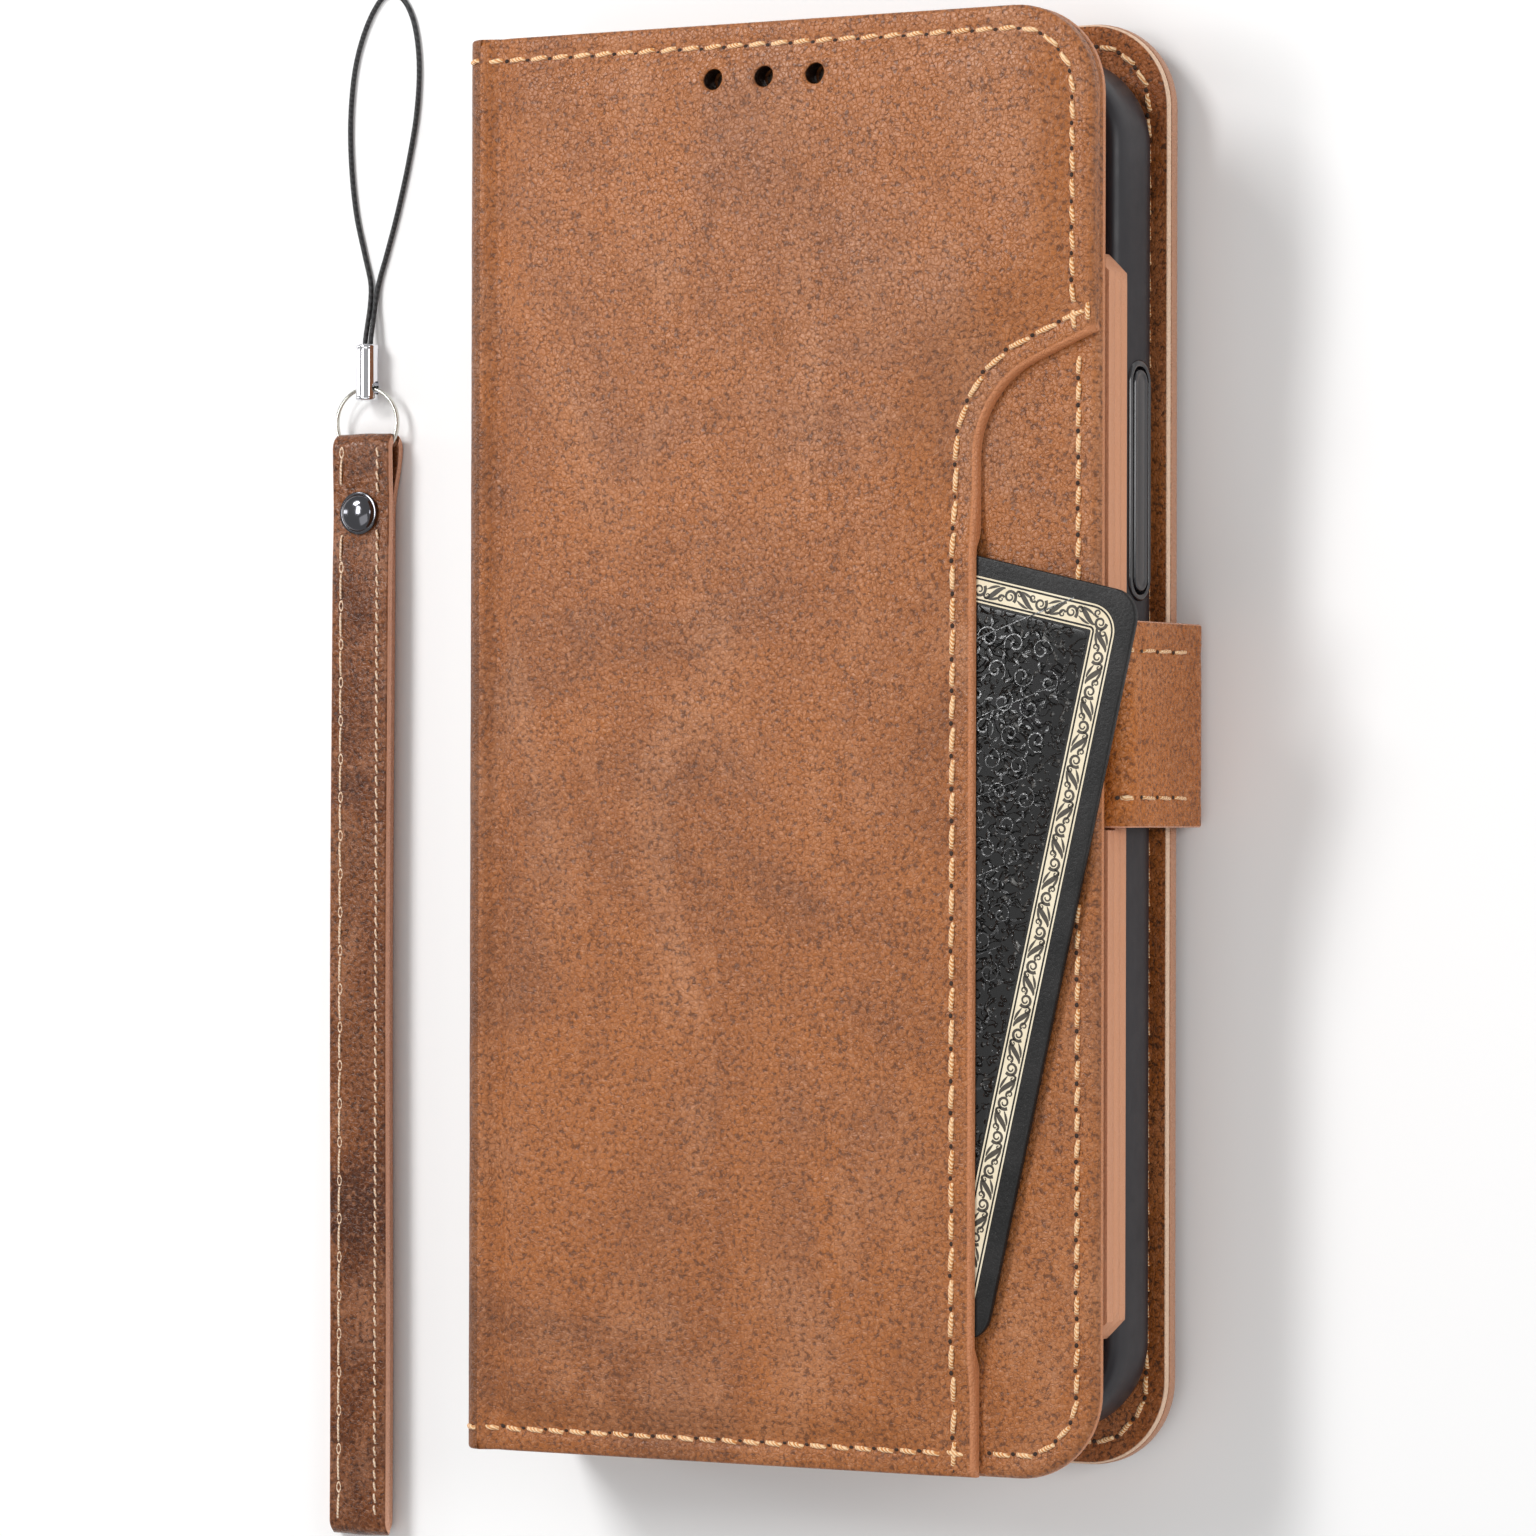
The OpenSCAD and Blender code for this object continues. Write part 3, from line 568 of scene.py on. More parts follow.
def leather(name, tones, edge, dark, grain=1.0, rough=(0.32, 0.42), patch=24.0, depth=0.00005, spec=0.38, creases=0.5,
            streaks=0.5, folds=0.4, fold_scale=140):
    """Grained leather: cloudy dye, pale scuffs, fine cells with dark creases and pores, bare cut edges, a painted
    highlight on the raised parts of the grain's mottle, and painted shade (near-black) on the walls of holes.
    """
    n = Nodes(name)
    cloud = n.noise(patch, 6, 0.62, distortion=0.7)
    color = n.ramp(cloud, [(0.34, tones[0]), (0.45, tones[1]), (0.54, tones[2]), (0.66, tones[3])])
    second = n.noise(patch * 3.1, 5, 0.66, n.stretched(1, 0.45, 1, 0.7), distortion=0.5)
    color = n.mix(n.span(second, 0.50, 0.74, 0, streaks), color, tones[4])
    color = n.mix(n.span(second, 0.44, 0.28, 0, 0.55), color, tones[0])
    mottle = n.noise(1800 * grain, 2, 0.55, distortion=0.4)
    color = n.mix(n.span(mottle, 0.48, 0.34, 0.0, 1.5 * creases), color, dark)
    # painted highlight: the mottle's high parts are lightened towards the pale tone, standing in for light caught on
    # the pebble tops
    color = n.mix(n.span(mottle, 0.54, 0.70, 0.0, 0.9 * creases), color, tones[4])
    cells_at = n.shift_by(1300 * grain, 0.00045 / grain)
    edge_d = n.voronoi(1750 * grain, "DISTANCE_TO_EDGE", cells_at)
    cell = n.voronoi(1750 * grain, "F1", cells_at)
    crease = n.span(edge_d, 0.0, 0.13, 1, 0)
    color = n.mix(n.math("MULTIPLY", crease, 0.45 * creases), color, dark)
    pores = n.span(n.voronoi(1050 * grain, "F1", cells_at), 0.05, 0.24, 1, 0)
    pores = n.math("MULTIPLY", pores, n.span(n.noise(420, 2), 0.44, 0.60, 0, 1))
    color = n.mix(n.math("MULTIPLY", pores, 0.95 * creases), color, dark)
    line = n.noise(420 * grain, 3, 0.6, n.stretched(1, 0.5, 1, 0.9), distortion=0.8)
    line = n.span(n.math("ABSOLUTE", n.math("SUBTRACT", line, 0.5)), 0.0, 0.022, 1, 0)
    line = n.math("MULTIPLY", line, n.span(n.noise(70, 3), 0.45, 0.68, 0, 1))
    color = n.mix(n.math("MULTIPLY", line, 0.5 * creases), color, dark)
    trim = n.attribute("trim")
    color = n.mix(n.span(trim, 0.25, 0.6, 0, 1), color, edge)
    # painted shade: where trim is -1 (the walls of holes) the colour is taken almost to black
    color = n.mix(n.span(trim, -0.2, -0.8, 0, 1), color, tuple(0.12 * c for c in dark))
    r = n.span(n.noise(170, 3, 0.6), 0.3, 0.7, rough[0], rough[1])
    height = n.math("ADD", n.math("MULTIPLY", n.span(cell, 0, 0.6, 1, 0), 0.5), n.math("MULTIPLY", crease, -0.9))
    height = n.math("ADD", height, n.math("MULTIPLY", line, -1.2))
    height = n.math("ADD", height, n.math("MULTIPLY", pores, -0.9))
    height = n.math("ADD", height, n.math("MULTIPLY", mottle, 2.2))
    b = n.bump(n.noise(fold_scale, 4, 0.6, n.stretched(1, 0.5, 1, 0.3)), 0.0003, folds)
    return n.surface(color, n.math("ADD", r, n.math("MULTIPLY", crease, 0.12)), n.bump(height, depth, 0.9, b),
                     {"Specular IOR Level": spec})


def plain(name, tones, rough, scale=300.0, depth=0.00004, metal=0.0, spec=0.5, coat=0.0, dust=None, brushed=None):
    """A moulded, painted or metal surface with small unevenness in colour, gloss and height."""
    n = Nodes(name)
    a = n.noise(scale / 12, 4, 0.6)
    color = n.mix(n.span(a, 0.35, 0.65, 0, 1), tones[0], tones[1])
    if dust is not None:
        speck = n.span(n.noise(scale * 7, 1, 0.4), 0.70, 0.76, 0, 1)
        color = n.mix(n.math("MULTIPLY", speck, 0.8), color, dust)
    color = n.mix(n.span(n.attribute("trim"), 0.3, 0.8, 0, 1), color, tones[-1])
    fine = n.noise(scale, 3, 0.6, n.stretched(*brushed) if brushed else None)
    return n.surface(color, n.span(fine, 0.3, 0.7, rough[0], rough[1]), n.bump(fine, depth, 0.6),
                     {"Metallic": metal, "Specular IOR Level": spec, "Coat Weight": coat, "Coat Roughness": 0.15})


def embossed(name, low, high):
    """Black plastic pressed with fine curling ridges, glossier on top, with the ridges painted paler as painted glints.
    """
    n = Nodes(name)
    swirl = n.noise(480, 1, 0.4, distortion=1.4)
    ridge = n.span(n.math("ABSOLUTE", n.math("SUBTRACT", swirl, 0.5)), 0.0, 0.05, 1, 0)
    dots = n.span(n.voronoi(1100, "F1"), 0.10, 0.34, 1, 0)
    height = n.math("MAXIMUM", ridge, n.math("MULTIPLY", dots, 0.7))
    # painted glints: the ridges are mixed towards the pale tone
    color = n.mix(n.math("MULTIPLY", height, n.span(n.noise(1300, 2), 0.54, 0.66, 0, 1.0)), low, high)
    return n.surface(color, n.span(height, 0, 1, 0.22, 0.12), n.bump(height, 0.00030, 1.0),
                     {"Specular IOR Level": 0.6})


def yarn(n, scale, distortion, detail=2.0):
    """The slanting bands of twisted or braided yarn."""
    w = n.new("ShaderNodeTexWave", wave_type="BANDS", bands_direction="DIAGONAL")
    for name, value in (("Vector", n.place), ("Scale", scale), ("Distortion", distortion), ("Detail", detail)):
        n.put(w, name, value)
    return w


def thread_material(name, light, deep, scale):
    n = Nodes(name)
    w = yarn(n, scale, 1.5)
    color = n.mix(n.span(w.outputs["Fac"], 0.2, 0.8, 0, 1), deep, light)
    color = n.mix(n.span(n.noise(500, 2), 0.45, 0.7, 0, 0.5), color, light)
    return n.surface(color, n.span(n.noise(3000, 2), 0.3, 0.7, 0.5, 0.75), n.bump(w.outputs["Fac"], 0.00008, 0.8),
                     {"Sheen Weight": 0.25})


TAN = [(0.240, 0.080, 0.024), (0.330, 0.108, 0.028), (0.385, 0.127, 0.031), (0.315, 0.112, 0.038),
       (0.53, 0.245, 0.120)]
BROWN = leather("leather_brown", TAN, (0.55, 0.215, 0.092), (0.10, 0.036, 0.016))
# the spine is the cover leather darkened to 0.62 of its tones, as painted shade on the roll that turns away from the
# lights
SPINE = leather("leather_spine_shaded", [tuple(0.62 * c for c in t) for t in TAN], (0.40, 0.18, 0.09), (0.09, 0.030, 0.010))
BACK = leather("leather_back", [tuple(0.92 * c for c in t) for t in TAN], (0.50, 0.25, 0.15), (0.12, 0.045, 0.022))
CLASP = leather("leather_clasp", [(0.33, 0.098, 0.018), (0.43, 0.128, 0.022), (0.50, 0.152, 0.026),
                                  (0.38, 0.125, 0.034), (0.66, 0.30, 0.14)],
                (0.74, 0.38, 0.25), (0.12, 0.036, 0.010), rough=(0.18, 0.30), spec=0.25, folds=0.6)
STRAP = leather("leather_strap", [(0.085, 0.024, 0.007), (0.140, 0.041, 0.011), (0.195, 0.061, 0.017),
                                  (0.21, 0.074, 0.026), (0.46, 0.21, 0.11)],
                (0.74, 0.38, 0.24), (0.03, 0.008, 0.003), patch=60, rough=(0.20, 0.32), spec=0.30, folds=1.0,
                depth=0.00003, fold_scale=420)
SALMON = leather("lining_salmon", [(0.58, 0.26, 0.135), (0.63, 0.29, 0.155), (0.65, 0.30, 0.165), (0.62, 0.285, 0.16),
                                   (0.68, 0.34, 0.20)],
                 (0.64, 0.295, 0.16), (0.36, 0.15, 0.08), grain=1.3, rough=(0.42, 0.55), depth=0.00002, creases=0.15)
# the lining's pale edge colour is edge paint made lighter, partly a painted highlight along its rounded rim
DARK = leather("lining_dark", [(0.26, 0.070, 0.012), (0.35, 0.100, 0.017), (0.42, 0.125, 0.022),
                               (0.36, 0.115, 0.026), (0.52, 0.21, 0.09)],
               (0.80, 0.56, 0.40), (0.03, 0.012, 0.006), rough=(0.42, 0.6), creases=0.5)
BOARD = plain("board_grey", [(0.30, 0.26, 0.21), (0.36, 0.32, 0.27), (0.22, 0.18, 0.14)], (0.75, 0.9), 900)
RUBBER = plain("rubber_black", [(0.013, 0.0115, 0.015), (0.019, 0.017, 0.021), (0.02, 0.02, 0.022)], (0.34, 0.44), 420,
               depth=0.00002, spec=0.38)
GLOSSY = plain("rubber_glossy", [(0.010, 0.010, 0.013), (0.016, 0.015, 0.018), (0.01, 0.01, 0.012)], (0.12, 0.2), 300,
               spec=0.6, coat=0.5)
CARD_BLACK = plain("card_black", [(0.010, 0.010, 0.010), (0.020, 0.019, 0.019), (0.02, 0.02, 0.02)], (0.34, 0.46), 2400,
                   depth=0.00008, dust=(0.20, 0.195, 0.19), spec=0.22)
CARD_RELIEF = plain("card_relief", [(0.012, 0.012, 0.013), (0.026, 0.026, 0.027), (0.02, 0.02, 0.02)],
                    (0.12, 0.22), 1600, depth=0.00012, spec=0.9, coat=0.5)
# the second tone is the painted glint on the ridge tops
CARD_FIELD = embossed("card_field", (0.008, 0.008, 0.008), (0.20, 0.195, 0.185))
CARD_CREAM = plain("card_cream", [(0.72, 0.61, 0.42), (0.82, 0.73, 0.55), (0.6, 0.5, 0.34)], (0.35, 0.5), 1200)
CARD_LINE = plain("card_line", [(0.035, 0.028, 0.02), (0.06, 0.048, 0.034), (0.02, 0.02, 0.02)], (0.4, 0.55), 1200)
DARK_CHROME = plain("metal_dark_chrome", [(0.10, 0.10, 0.112), (0.16, 0.16, 0.175), (0.5, 0.5, 0.5)], (0.08, 0.16), 260,
                    metal=1.0, depth=0.00002)
CHROME = plain("metal_chrome", [(0.72, 0.72, 0.75), (0.86, 0.86, 0.88), (0.5, 0.5, 0.5)], (0.08, 0.17), 300, metal=1.0,
               depth=0.00001, brushed=(1, 0.1, 1))
WIRE = plain("metal_wire", [(0.62, 0.61, 0.55), (0.76, 0.75, 0.70), (0.5, 0.5, 0.5)], (0.14, 0.26), 600, metal=1.0,
             depth=0.00001)
STEEL = plain("metal_plate", [(0.42, 0.43, 0.45), (0.55, 0.56, 0.58), (0.5, 0.5, 0.5)], (0.25, 0.4), 300, metal=1.0,
              brushed=(1, 0.05, 1))
THREAD = thread_material("thread_tan", (0.95, 0.66, 0.38), (0.60, 0.22, 0.04), 1300)
PALE = thread_material("thread_pale", (0.90, 0.70, 0.52), (0.62, 0.38, 0.22), 1400)
# near-black, as the painted shade of pricked holes
HOLE_SHADE = plain("thread_hole_shade", [(0.022, 0.009, 0.004), (0.035, 0.014, 0.006), (0.02, 0.01, 0.005)], (0.7, 0.9), 900)


def cord_material():
    n = Nodes("cord_black")
    w = yarn(n, 900.0, 0.8)
    color = n.mix(n.span(w.outputs["Fac"], 0.3, 0.7, 0, 1), (0.008, 0.008, 0.009), (0.035, 0.035, 0.037))
    color = n.mix(n.span(n.noise(1800, 2), 0.6, 0.75, 0, 0.5), color, (0.09, 0.09, 0.09))
    return n.surface(color, n.span(n.noise(2500, 2), 0.3, 0.7, 0.5, 0.7), n.bump(w.outputs["Fac"], 0.00006, 0.8))


CORD = cord_material()

# ---------- cord and its sleeve ----------

CORD_D = 0.6
SLEEVE_AT = np.array([WRIST_X, 41.95, 1.95])
SLEEVE_L = 6.8
CORD_POINTS = np.array([
    [-0.38, 2.7, 0], [-0.38, 6.8, -0.1], [-0.36, 9.5, -0.7], [-0.36, 12, -1.3], [-0.5, 14.5, -1.55],
    [-1.4, 18, -1.6], [-2.6, 23, -1.6], [-3.3, 29, -1.6], [-3.4, 35, -1.6], [-2.7, 41, -1.6], [-1, 46, -1.6],
    [1.3, 49.2, -1.6], [3.6, 49, -1.6], [5.4, 46, -1.6], [6.2, 41, -1.6], [5.9, 35, -1.6], [4.8, 29, -1.6],
    [3.3, 23, -1.6], [1.8, 18, -1.6], [0.7, 14.5, -1.55], [0.36, 12, -1.3], [0.36, 9.5, -0.7], [0.38, 6.8, -0.1],
    [0.38, 2.7, 0]])


def catmull(p, steps):
    out = []
    for i in range(len(p) - 1):
        a, b, c, d = p[max(i - 1, 0)], p[i], p[i + 1], p[min(i + 2, len(p) - 1)]
        for k in range(steps):
            t = k / steps
            out.append(0.5 * (2 * b + (c - a) * t + (2 * a - 5 * b + 4 * c - d) * t * t
                              + (3 * b - a - 3 * c + d) * t ** 3))
    out.append(p[-1])
    return np.array(out)


cord_line = table(catmull(CORD_POINTS, 6) + SLEEVE_AT)
curve = bpy.data.curves.new("cord_loop", "CURVE")
curve.dimensions = "3D"
curve.bevel_depth = CORD_D / 2 * MM
curve.bevel_resolution = 5
curve.use_fill_caps = True
spline = curve.splines.new("POLY")
spline.points.add(len(cord_line) - 1)
for point, place in zip(spline.points, cord_line):
    point.co = (*place, 1)
spline.use_smooth = True
cord_loop = bpy.data.objects.new("cord_loop", curve)
COLLECTION.objects.link(cord_loop)
curve.materials.append(CORD)
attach(cord_loop, "sleeve")
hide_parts("cord")

sleeve_profile = [(0, 0.0), (1.10, 0.0), (1.28, 0.05), (1.38, 0.16), (1.40, 0.32), (1.36, 0.42), (1.35, 0.55),
                  (1.37, 1.2), (1.37, 5.7), (1.35, 6.2), (1.38, 6.38), (1.40, 6.5), (1.37, 6.68), (1.24, 6.78),
                  (1.08, 6.8), (0.92, 6.74), (0.82, 6.6), (0.78, 6.3), (0.76, 5.0), (0.75, 2.62), (0.0, 2.6)]
v, f = lathe(sleeve_profile, 56)
v = np.stack([v[:, 0], v[:, 2], -v[:, 1]], 1) + SLEEVE_AT
sleeve = build("crimp_sleeve", table(v), f, CHROME, sharp=50)
c, g = lathe([(0, -4), (0.8, -4), (0.8, 4), (0, 4)], 32)
cut(sleeve, table(np.stack([c[:, 2], c[:, 0], c[:, 1]], 1) + SLEEVE_AT + [0, 1.5, 0]), g)
sleeve.data.set_sharp_from_angle(angle=math.radians(50))
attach(sleeve, "sleeve")
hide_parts("cord_sleeve")
table(SLEEVE_AT + [0, SLEEVE_L, 0]).tolist()

# ---------- front cover ----------

STRIP_W = 14.6  # the base leather that shows beside the pocket
POCKET_X = X_RIGHT - STRIP_W
SLOPE = math.radians(23)
BEND_R = 11.6
RISE_Y = 45.5
slope_foot_y = RISE_Y - STRIP_W * math.tan(SLOPE)
bend_t = BEND_R * math.tan((math.pi / 2 - SLOPE) / 2)
bend_c = np.array([POCKET_X + BEND_R, slope_foot_y - bend_t])
mouth_arc = [bend_c + BEND_R * np.array([math.cos(a), math.sin(a)])
             for a in np.linspace(math.pi, math.pi / 2 + SLOPE, 17)]
MOUTH = np.array([[POCKET_X, -HALF_H]] + mouth_arc + [[X_RIGHT, RISE_Y]])
SOUND = [circle_2d(-0.7 + 6.6 * i, HALF_H - 6.4, 1.15) for i in (-1, 0, 1)]
CARD_MID = np.array([10.2, -19.5])
CARD_REACH = (31.3, 43.1)  # how far the card lifts the leather, each way from its middle
LEAN = math.radians(13)


def in_card_axes(x, y):
    dx, dy = x - CARD_MID[0], y - CARD_MID[1]
    return dx * math.cos(LEAN) - dy * math.sin(LEAN), dx * math.sin(LEAN) + dy * math.cos(LEAN)


def from_card_axes(p):
    p = np.asarray(p, float)
    x = CARD_MID[0] + p[..., 0] * math.cos(LEAN) + p[..., 1] * math.sin(LEAN)
    y = CARD_MID[1] - p[..., 0] * math.sin(LEAN) + p[..., 1] * math.cos(LEAN)
    return np.stack([x, y] + [p[..., i] for i in range(2, p.shape[-1])], -1)


def over_card(x, y, spread):
    u, w = in_card_axes(x, y)
    reach = np.minimum(np.minimum(u + CARD_REACH[0], w + CARD_REACH[1]), CARD_REACH[1] - w)
    return smooth((reach + spread) / spread)


FAR_LEFT = CREASE_X - 60


def outer_edge(points):
    """Distance to the cover's top, right and bottom edges, as if the pocket had no mouth and no spine edge."""
    return distance(points, cover_outline(FAR_LEFT, X_RIGHT, HALF_H, CORNER))


def pad_profile(d):
    return (-0.36 - 0.34 * bump_at(d, STITCH_IN, 0.62) - 0.26 * smooth((2.1 - d) / 2.1)
            + 0.98 * smooth((d - 2.9) / 4.3) + 0.26 * smooth((d - 6.5) / 22))


def roll_drop(x):
    """How the leather falls from the roll's top into the crease beside the padded panel."""
    return -0.85 * smooth((x - FOLD_X) / (CREASE_X - FOLD_X)) ** 1.3


def pocket_top(x, y, d):
    p = np.column_stack([x, y])
    outer = outer_edge(p)
    left = x - CREASE_X
    h = pad_profile(outer)
    h_left = -0.85 + 1.45 * smooth(left / 3.6) + 0.26 * smooth((left - 4) / 22)
    h = soft_min(h, h_left, 7)
    w = smooth(-left / 1.3 + 0.35)
    h = h * (1 - w) + roll_drop(x) * w
    m = distance(p, MOUTH, closed=False)
    lying = -0.95 + 0.78 * over_card(x, y, 7)
    h_mouth = lying - 0.16 * bump_at(m, STITCH_IN, 0.5) + (0.90 - lying) * smooth((m - 1.5) / 11)
    h = soft_min(h, h_mouth, 6)
    uneven = 0.07 * waves(x, y, 3, 26) + 0.018 * waves(x, y, 4, 6)
    h = h + uneven * smooth((np.minimum(d, left) - 0.5) / 5)
    edge = np.where(x < CREASE_X, np.minimum(outer, m), d)
    return Z_TOP + h - np.where(m <= outer, drop(m, 0.75), drop(edge, 0.45))


def pocket_bottom(x, y, d):
    p = np.column_stack([x, y])
    m = distance(p, MOUTH, closed=False)
    t = pocket_top(x, y, d)
    k = over_card(x, y, 2.5)
    w = smooth((5.5 - m) / 2.5)
    low = (Z_BASE + 0.02) * (1 - w) + np.maximum(t - 1.15, Z_BASE + 0.03) * w
    low = low * (1 - k) + (POCKET_IN + 0.01) * k
    return np.maximum(np.where(x < CREASE_X, t - SPINE_T, low), Z_BASE + 0.02)


pocket_line = np.array([[FOLD_X, -HALF_H]] + MOUTH.tolist()
                       + cover_outline(0, X_RIGHT, HALF_H, CORNER)[18:-1].tolist() + [[FOLD_X, HALF_H]])
front_pocket = layer("front_pocket_leather", pocket_line, pocket_top, pocket_bottom, BROWN, holes=SOUND, step=1.5,
                     body="front_cover", stands_for=("front_pocket",), slot="brown_leather", trim_top=0.62,
                     trim_where=lambda x, y: ((x > CREASE_X + 1)
                                              & (distance(np.column_stack([x, y]), MOUTH, False) < 0.5)))


def shell_top(x, y, d):
    return (Z_BASE - drop(d, 1.0) - 0.16 * bump_at(d, STITCH_IN, 0.5) + 0.05 * waves(x, y, 8, 18) * smooth((d - 3) / 3)
            - 0.05)


def shell_bottom(x, y, d):
    return np.where(d < 1.15, 18.62 + drop(d, 1.0), np.where(d < 2.45, Z_BOARD + 0.02, Z_BASE_IN + 0.01))


HEM = (0.05, 0.18, 0.4, 0.7, 1.1, 1.2, 1.7, 2.2, 2.4, 2.5, 3.0, 3.6)
layer("front_base_leather", cover_outline(-37.2, X_RIGHT, HALF_H, CORNER), shell_top, shell_bottom, BROWN, holes=SOUND,
      insets=HEM, body="front_cover", stands_for=("front_base",), slot="brown_leather", trim_at=0.0001)


def flat(z, r=0.0, sign=1):
    """A level face with its edge rounded by r: sign is 1 for a top face, -1 for an underside."""
    return lambda x, y, d: z - sign * drop(d, r) if r else z + 0 * x


layer("front_board", cover_outline(-36.0, X_RIGHT - 2.6, HALF_H - 2.6, CORNER - 2.6), flat(Z_BASE_IN), flat(Z_BOARD),
      BOARD, holes=SOUND, step=4, insets=(0.3,), body="front_cover", stands_for=("front_board",), slot="board")
layer("front_lining", cover_outline(-37.0, X_RIGHT - 1.25, HALF_H - 1.25, CORNER - 1.25), flat(Z_BOARD - 0.02, 0.12),
      flat(Z_LINING, 0.12, sign=-1), SALMON, holes=SOUND, step=3, insets=(0.06, 0.2, 0.6), body="front_cover",
      stands_for=("front_lining",), slot="salmon_lining", trim_at=0.02)

# ---------- card panels, with the slots that are open on the inner face ----------

PANEL_T, PANEL_H, PANEL_DROP = 1.6, 121.0, 6.0
SLOT_STEP = 16.0
PANEL_X0, PANEL_X1 = FOLD_X + 0.3 + 4.5, X_RIGHT
PANEL_TOP = PANEL_H / 2 - PANEL_DROP
panel_w = PANEL_X1 - PANEL_X0
panel_mid = (PANEL_X0 + PANEL_X1) / 2
for level, (node, name) in enumerate((("slot_face", "card_slots"), ("slot_panel", "card_slots_middle"),
                                      ("cash_panel", "cash_panel_leather"))):
    z0 = Z_LINING - PANEL_T * (3 - level)
    corner = rounded_rect(panel_mid, -PANEL_DROP, panel_w, PANEL_H, 2.2, 1)
    slots = [rounded_rect(panel_mid, PANEL_TOP - 2.0 - SLOT_STEP * (2 - level - k) - 0.8, 55.4, 1.6, 0.5, 3)
             for k in range(3 - level)]
    obj = layer(name, corner, flat(z0 + PANEL_T - 0.004, 0.02),
                flat(z0 + 0.004, 0.22 if level == 0 else 0.02, sign=-1), SALMON, holes=slots, step=3.0,
                insets=(0.02, 0.1, 0.25, 0.8), body="front_cover",
                stands_for=(node,), slot="salmon_lining", trim_at=0.02)
    if level:  # room for the end of the clasp, which is sewn under the cover
        cut(obj, *prism([[X_RIGHT - 9.3, CLASP_Y - 11.8], [X_RIGHT + 2, CLASP_Y - 11.8],
                         [X_RIGHT + 2, CLASP_Y + 11.8], [X_RIGHT - 9.3, CLASP_Y + 11.8]],
                        Z_LINING - 1.9, Z_LINING + 1))

# ---------- back cover ----------

WINDOW_AT = (21.0, HALF_H - 29.0)
WINDOW = rounded_rect(*WINDOW_AT, 21.0, 35.0, 4.0, 8)


def back_out(x, y, d):
    d = np.minimum(outer_edge(np.column_stack([x, y])), np.where(x > FOLD_X + 2, d, 99))
    pad = 0.14 * bump_at(d, STITCH_IN, 0.6) + 0.08 * smooth((4.5 - d) / 2)
    pad = pad + 0.05 * (1 + waves(x, y, 12, 24)) * smooth((d - 3) / 4) + 0.22 * bump_at(x, CREASE_X, 0.8)
    return 0.02 + drop(d, 0.9) + pad * smooth((x - FOLD_X) / 1.2)


def back_in(x, y, d):
    hem = np.where(d < 1.15, 2.16 - drop(d, 0.25), np.where(d < 2.45, 2.17, 0.98))
    return np.where(x < -37.4, 0.98, hem)


layer("back_leather_cover", cover_outline(FOLD_X, X_RIGHT, HALF_H, CORNER), back_in, back_out, BACK, holes=[WINDOW],
      insets=HEM, body="back_cover", stands_for=("back_leather",), slot="brown_leather", trim_at=0.2)
layer("back_stiffener", cover_outline(-36.0, X_RIGHT - 2.6, HALF_H - 2.6, CORNER - 2.6), flat(2.15), flat(1.05), BOARD,
      holes=[rounded_rect(*WINDOW_AT, 23.0, 37.0, 5.0, 6),
             rounded_rect(X_RIGHT - 3.5 - 12, CLASP_Y, 24.0, 23.0, 0.2, 1)],
      step=4, insets=(0.3,), body="back_cover", stands_for=("back_board",), slot="board")


def lining_top(x, y, d):
    return 3.0 - drop(d, 0.22) - 0.14 * bump_at(d, STITCH_IN - 0.3, 0.5) - 0.02


# trim_at 0.34 widens the pale rim band: part edge paint, part painted highlight on the rounded top edge
layer("back_inner_lining", cover_outline(-37.0, X_RIGHT - 0.12, HALF_H - 0.12, CORNER - 0.12), lining_top,
      flat(2.19, 0.06, sign=-1), DARK, holes=[WINDOW], insets=(0.06, 0.16, 0.32, 0.6, 1.2, 1.9, 2.3, 2.8, 3.4),
      body="back_cover", stands_for=("back_lining",), slot="dark_lining", trim_at=0.34)

for node in ("steel_plate", "clasp_magnet"):
    metal = frame["nodes"][node].data.materials
    metal.clear()
    metal.append(STEEL)

# ---------- spine: one leather that rolls over both edges ----------


def outward(path):
    t = np.gradient(path, axis=0)
    t /= np.linalg.norm(t, axis=1)[:, None]
    return np.cross(t, [0, 1, 0])


def crinkle(seed, amount):
    def f(s, u, p):
        return amount * waves(u + 0 * s, np.full_like(u, 6.0 * s), seed, 9)
    return f


SPINE_LOW, SPINE_HIGH, SPINE_BULGE = 4.4, 18.6, 0.10
front_roll = np.concatenate([dense([[X_LEFT, 0, SPINE_HIGH], [X_LEFT, 0, FRONT_FOLD_Z]], 0.5)[:-1],
                             arc_xz(FOLD_X, FRONT_FOLD_Z, ROLL, 180, 90, 16)])
back_roll = np.concatenate([arc_xz(FOLD_X, ROLL, ROLL, 270, 180, 14),
                            dense([[X_LEFT, 0, ROLL], [X_LEFT, 0, SPINE_LOW]], 0.5)[1:]])
face = dense([[X_LEFT, 0, SPINE_LOW], [X_LEFT, 0, SPINE_HIGH]], 0.7)
face[:, 0] -= SPINE_BULGE * np.sin(np.pi * (face[:, 2] - SPINE_LOW) / (SPINE_HIGH - SPINE_LOW))
